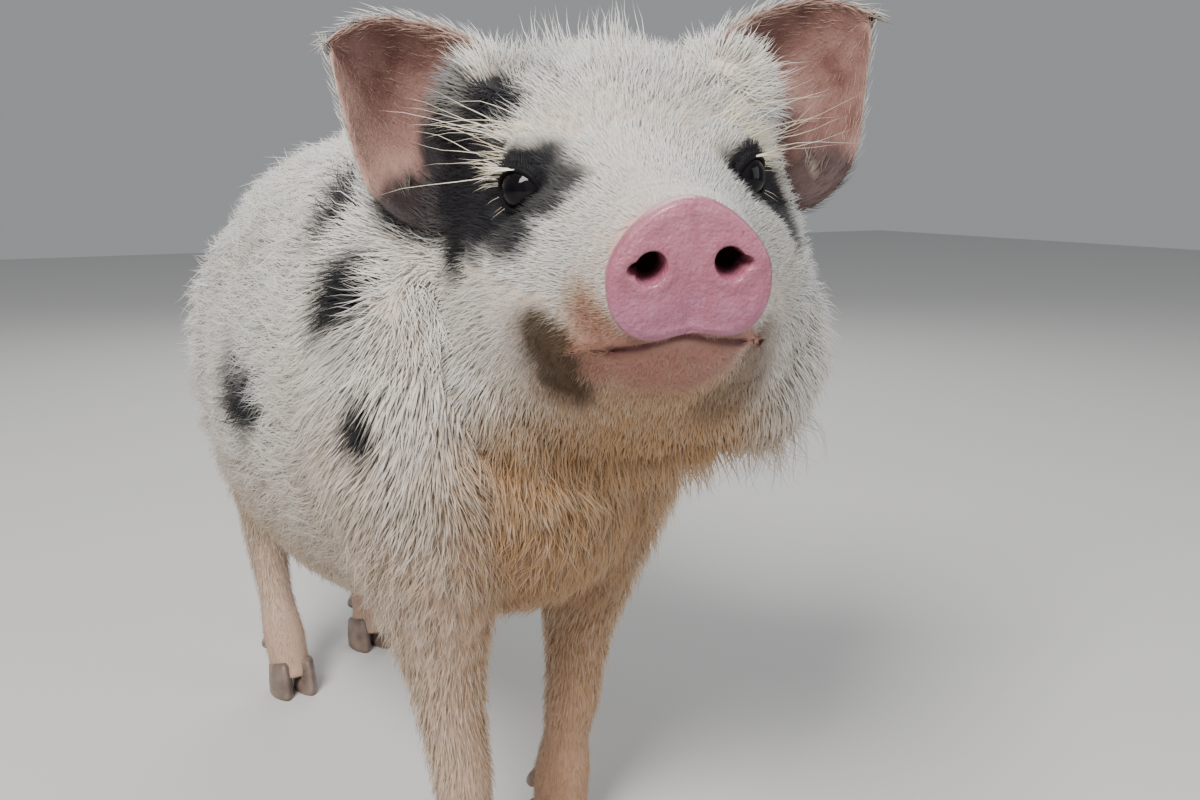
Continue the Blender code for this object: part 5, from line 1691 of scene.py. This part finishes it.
def lidFur(lids, side):
    # Copy of the lids' outer face for short dark hair to grow on
    steps, count = lidUse["steps"], len(lids.data.vertices) // lidUse["steps"]
    made = newObject("lidFur", lids.data.copy())
    middle, gaze, _, _ = eyeAxes(side)
    _, away, _ = fromGaze(vertexArray(made.data), middle, gaze)
    row = np.arange(len(away)) % count
    outward = unit(away - np.outer(away @ np.array(gaze), np.array(gaze)))
    flow = outward * 0.7 - np.array(forwardAxis) * 0.6 - np.array(upAxis) * 0.15
    storeVector(made.data, "flow", unit(flow))
    storeFloat(made.data, "hairLength", 0.0026 + 0.0016 * smooth(row, 4, 8))
    storeFloat(made.data, "grow", np.where((row > 2) & (row < 10), 1.0, 0.0))
    storeFloat(made.data, "black", np.ones(len(away)))
    unwrapped = made.data.uv_layers.new(name="rootUv")
    corner = np.empty(len(made.data.loops), np.int32)
    made.data.loops.foreach_get("vertex_index", corner)
    spots = np.stack([(corner // count) / steps, (corner % count) / count * 0.2], axis=1)
    unwrapped.data.foreach_set("uv", spots.astype(np.float32).ravel())
    return made


def makeLids(side, word):
    # Rolled upper and lower lids as one closed ring, with a fold above
    axes = eyeAxes(side)
    radius = eyeUse["radius"]
    steps = lidUse["steps"]
    mesh = bmesh.new()
    loops = []
    for step in range(steps):
        turn = math.tau * step / steps
        upper = max(0.0, math.sin(turn))
        thick = 0.0010 + 0.0005 * upper
        profile = (
            (1.0, radius + 0.00005), (-0.4, radius + 0.00045), (0.2, radius + thick * 0.62),
            (2.6, radius + thick), (7.0, radius + thick + 0.0003),
            (11.0, radius + thick - 0.0004 * upper), (15.0, radius + thick - 0.0003 * upper),
            (19.0, radius + thick + 0.0004), (26.0, radius + thick + 0.0001),
            (34.0, radius + 0.0004), (42.0, radius - 0.0014), (30.0, radius - 0.0022),
            (12.0, radius - 0.0012),
        )
        loops.append([mesh.verts.new(lidPoint(axes, turn, push, reach))
                      for push, reach in profile])
    count = len(loops[0])
    for step in range(steps):
        near, far = loops[step], loops[(step + 1) % steps]
        for index in range(count):
            after = (index + 1) % count
            mesh.faces.new((near[index], near[after], far[after], far[index]))
    lids = place(faceOut(mesh), "eyelids" + word)
    shadeSmooth(lids)
    return lids


# Hooves and dewclaws
hoofUse = {
    "top": 0.0165,
    "slope": 0.22,
    "half": (0.0062, 0.0135),
    "spread": 0.0070,
    "points": 40,
    "clawPlace": (0.0078, 0.0135, 0.0270),
    "clawLength": 0.0125,
    "clawRadius": 0.0042,
}


def hoofMesh(legName, toe):
    foot = legs[legName][1]
    half, points = hoofUse["half"], hoofUse["points"]
    rings = []
    for level, size, push in ((0.0, 0.93, -0.0014), (0.03, 0.99, -0.0016), (0.12, 1.0, -0.0015),
                              (0.25, 0.995, -0.0011), (0.4, 0.985, -0.0007), (0.55, 0.955, -0.0003),
                              (0.7, 0.93, 0.0), (0.85, 0.885, 0.0004), (1.0, 0.86, 0.0008),
                              (1.12, 0.70, 0.0010)):
        ring = []
        for step in range(points):
            turn = math.tau * step / points
            groove = 1 - 0.012 * math.sin(level * 26) * (0.05 < level < 1)
            across = math.cos(turn) * half[0] * size * groove
            depth = math.sin(turn) * half[1] * size * groove
            pointed = 1.0 - 0.28 * max(0.0, -math.sin(turn)) ** 2
            x = foot[0] + toe * hoofUse["spread"] + across * pointed
            y = foot[1] + push + depth - 0.001
            top = hoofUse["top"] - hoofUse["slope"] * (y - foot[1])
            ring.append(Vector((x, y, top * level)))
        rings.append(ring)
    return tubeMesh(rings)


def clawMesh(legName, toe):
    rows, foot, hip = legs[legName]
    across, back, height = hoofUse["clawPlace"]
    lean = height / jointHeight
    shift = np.interp(height, [row[0] for row in rows], [row[1] for row in rows])
    start = Vector((foot[0] + (hip[0] - foot[0]) * lean + toe * across * 0.6,
                    foot[1] + (hip[1] - foot[1]) * lean + shift + back * 0.55, height + 0.003))
    along = Vector((toe * 0.35, 0.62, -0.70)).normalized()
    steps = (0.0, 0.2, 0.4, 0.6, 0.75, 0.88, 0.97)
    sizes = (0.95, 0.97, 0.95, 0.88, 0.76, 0.58, 0.28)
    path = [start + along * hoofUse["clawLength"] * t for t in steps]
    return sweep(path, [hoofUse["clawRadius"] * size for size in sizes], 20)


def hornMaterial():
    material, tree, shader = newMaterial("horn", 0.42)
    colour = mixColour(tree, partColours["hornPale"], partColours["hornDark"],
                       scaled(tree, noiseValue(tree, 120.0, 5.0), 0.30, 0.72))
    tree.links.new(colour, shader.inputs["Base Color"])
    bumped(tree, shader, noiseValue(tree, 1500.0, 3.0), 0.4, 0.0004)
    return material


# Build
skin = makeSkin()
earTree = earLookup()
dress(skin.data, earTree)
shadeSmooth(skin)
skin.data.materials.clear()
skin.data.materials.append(skinMaterial())
print("skin", triangles(skin))

emitter = makeEmitter(skin)
emitterPoints, emitterPlan = dress(emitter.data, earTree, 0.5)
regions = faceRegions(emitter.data, emitterPlan, emitterPoints)
print("emitter", len(emitter.data.polygons))

coatMat = coatMaterial()
paleMat = paleMaterial()
bristles = bristleTree()
templates = {}
holder = bpy.data.collections.new("templates")
bpy.context.scene.collection.children.link(holder)
for name, use in coatUse.items():
    templates[name] = strandTemplates(name, **use)
    holder.children.link(templates[name])


def coatPiece(patch, name, kind, material, density, spread, lift, seed, shortest):
    # Grows hair on a patch as one piece of the coat and returns its triangles
    made = grow(patch, name, bristles, Density=float(density), Spread=spread, Lift=lift, Seed=seed,
                Shortest=shortest, Strands=templates[kind], Material=material)
    remove(patch)
    finishPiece(made, "coat")
    return triangles(made)


total = 0
firstSeed, shortest = growUse["region"]
for number, (region, (kind, density, spread, lift)) in enumerate(coatRegions.items()):
    piece = partOf(emitter, regions == region)
    area = round(sum(face.area for face in piece.data.polygons), 5)
    count = coatPiece(piece, "coat_" + region, kind, coatMat, density, spread, lift,
                      firstSeed + number, shortest)
    total += count
    print("coat", region, "area", area, count)
firstSeed, shortest = growUse["long"]
for number, (name, use) in enumerate(longHairs.items()):
    kind, centre, radius, way, length, density = use
    piece = longHairPatch(emitter, emitterPoints, centre, radius, way, length)
    pale = name.startswith("brow")
    spread, lift = longLay[pale]
    total += coatPiece(piece, name, kind, paleMat if pale else coatMat, density, spread, lift,
                       firstSeed + number, shortest)
firstSeed, shortest = growUse["lash"]
for side, word in sides:
    for upper in (True, False):
        total += coatPiece(lashStrip(side, upper), ("lashes" if upper else "lowerLashes") + word,
                           "legSet", paleMat, lashUse["density" if upper else "lowerDensity"],
                           0.14, 0.05, firstSeed + side, shortest)
allLids = {}
firstSeed, shortest = growUse["lid"]
for side, word in sides:
    allLids[side] = makeLids(side, word)
    count = coatPiece(lidFur(allLids[side], side), "lidHair" + word, "faceSet", coatMat,
                      lidUse["hairs"], 0.2, 0.12, firstSeed + side, shortest)
    total += count
    print("coat lids", word, count)
print("coat total", total)
remove(emitter)
for group in templates.values():
    remove(*group.objects)
    bpy.data.collections.remove(group)
bpy.data.collections.remove(holder)

finishPiece(skin, "coat", "head", "neck", "torso", "tail", "ear_left", "ear_right", *legs)
finishPiece(makeSnout(), "snout", "snout")
wet, lidMat, horn = eyeMaterial(), lidMaterial(), hornMaterial()
for side, word in sides:
    eye = makeEye(side, word)
    eye.data.materials.append(wet)
    finishPiece(eye, "eye", "eye_" + word.lower())
    allLids[side].data.materials.append(lidMat)
    finishPiece(allLids[side], "skin")
for name in legs:
    end, word = name.split("leg_")
    for toe, letter in ((-1, "a"), (1, "b")):
        for kind, shape in (("hoof", hoofMesh), ("dewclaw", clawMesh)):
            item = place(shape(name, toe), f"{end}{kind}{word.capitalize()}{letter.upper()}")
            shadeSmooth(item)
            item.data.materials.append(horn)
            finishPiece(item, "horn", f"{end}{kind}_{word}_{letter}")
print("details made")

# Stage
stageUse = {
    "floor": (0.64, 0.63, 0.61),
    "floorHalf": 4.0,
    "world": (0.84, 0.87, 0.91),
    "worldStrength": 0.36,
    "lens": 35.61,
    "sensor": 36.0,
    "camera": (-0.2228, -0.5059, 0.30),
    "ahead": (0.5, 0.8660254),
    "down": math.radians(11),
}
# Name, place, aim, size, power and colour of each light
lights = (
    ("key", (-1.1, -0.9, 1.5), (0, 0, 0.2), 0.7, 57.0, (1.0, 0.98, 0.955)),
    ("fill", (1.2, -1.3, 0.7), (0, 0, 0.2), 1.2, 11.0, (0.90, 0.94, 1.0)),
    ("back", (0.6, 1.3, 1.2), (0, 0, 0.25), 0.9, 10.0, (1.0, 1.0, 1.0)),
)
floorMat, _, _ = newMaterial("floorPlain", 0.85, stageUse["floor"])
ground = bmesh.new()
bmesh.ops.create_grid(ground, x_segments=1, y_segments=1, size=stageUse["floorHalf"])
floor = place(ground, "floor")
floor.data.materials.append(floorMat)
world = bpy.data.worlds.new("plain")
bpy.context.scene.world = world
world.use_nodes = True
background = world.node_tree.nodes["Background"]
background.inputs["Color"].default_value = (*stageUse["world"], 1)
background.inputs["Strength"].default_value = stageUse["worldStrength"]


def turnTo(item, way):
    # Turns a camera or light to look along a way
    item.rotation_euler = way.to_track_quat("-Z", "Y").to_euler()


for name, spot, aim, size, power, colour in lights:
    data = bpy.data.lights.new(name, "AREA")
    data.energy = power
    data.size = size
    data.color = colour
    lamp = newObject(name, data)
    lamp.location = spot
    turnTo(lamp, Vector(aim) - Vector(spot))

lens = bpy.data.cameras.new("camera")
lens.lens = stageUse["lens"]
lens.sensor_width = stageUse["sensor"]
camera = newObject("camera", lens)
camera.location = stageUse["camera"]
(east, north), tilt = stageUse["ahead"], stageUse["down"]
turnTo(camera, Vector((east * math.cos(tilt), north * math.cos(tilt), -math.sin(tilt))))
bpy.context.scene.camera = camera
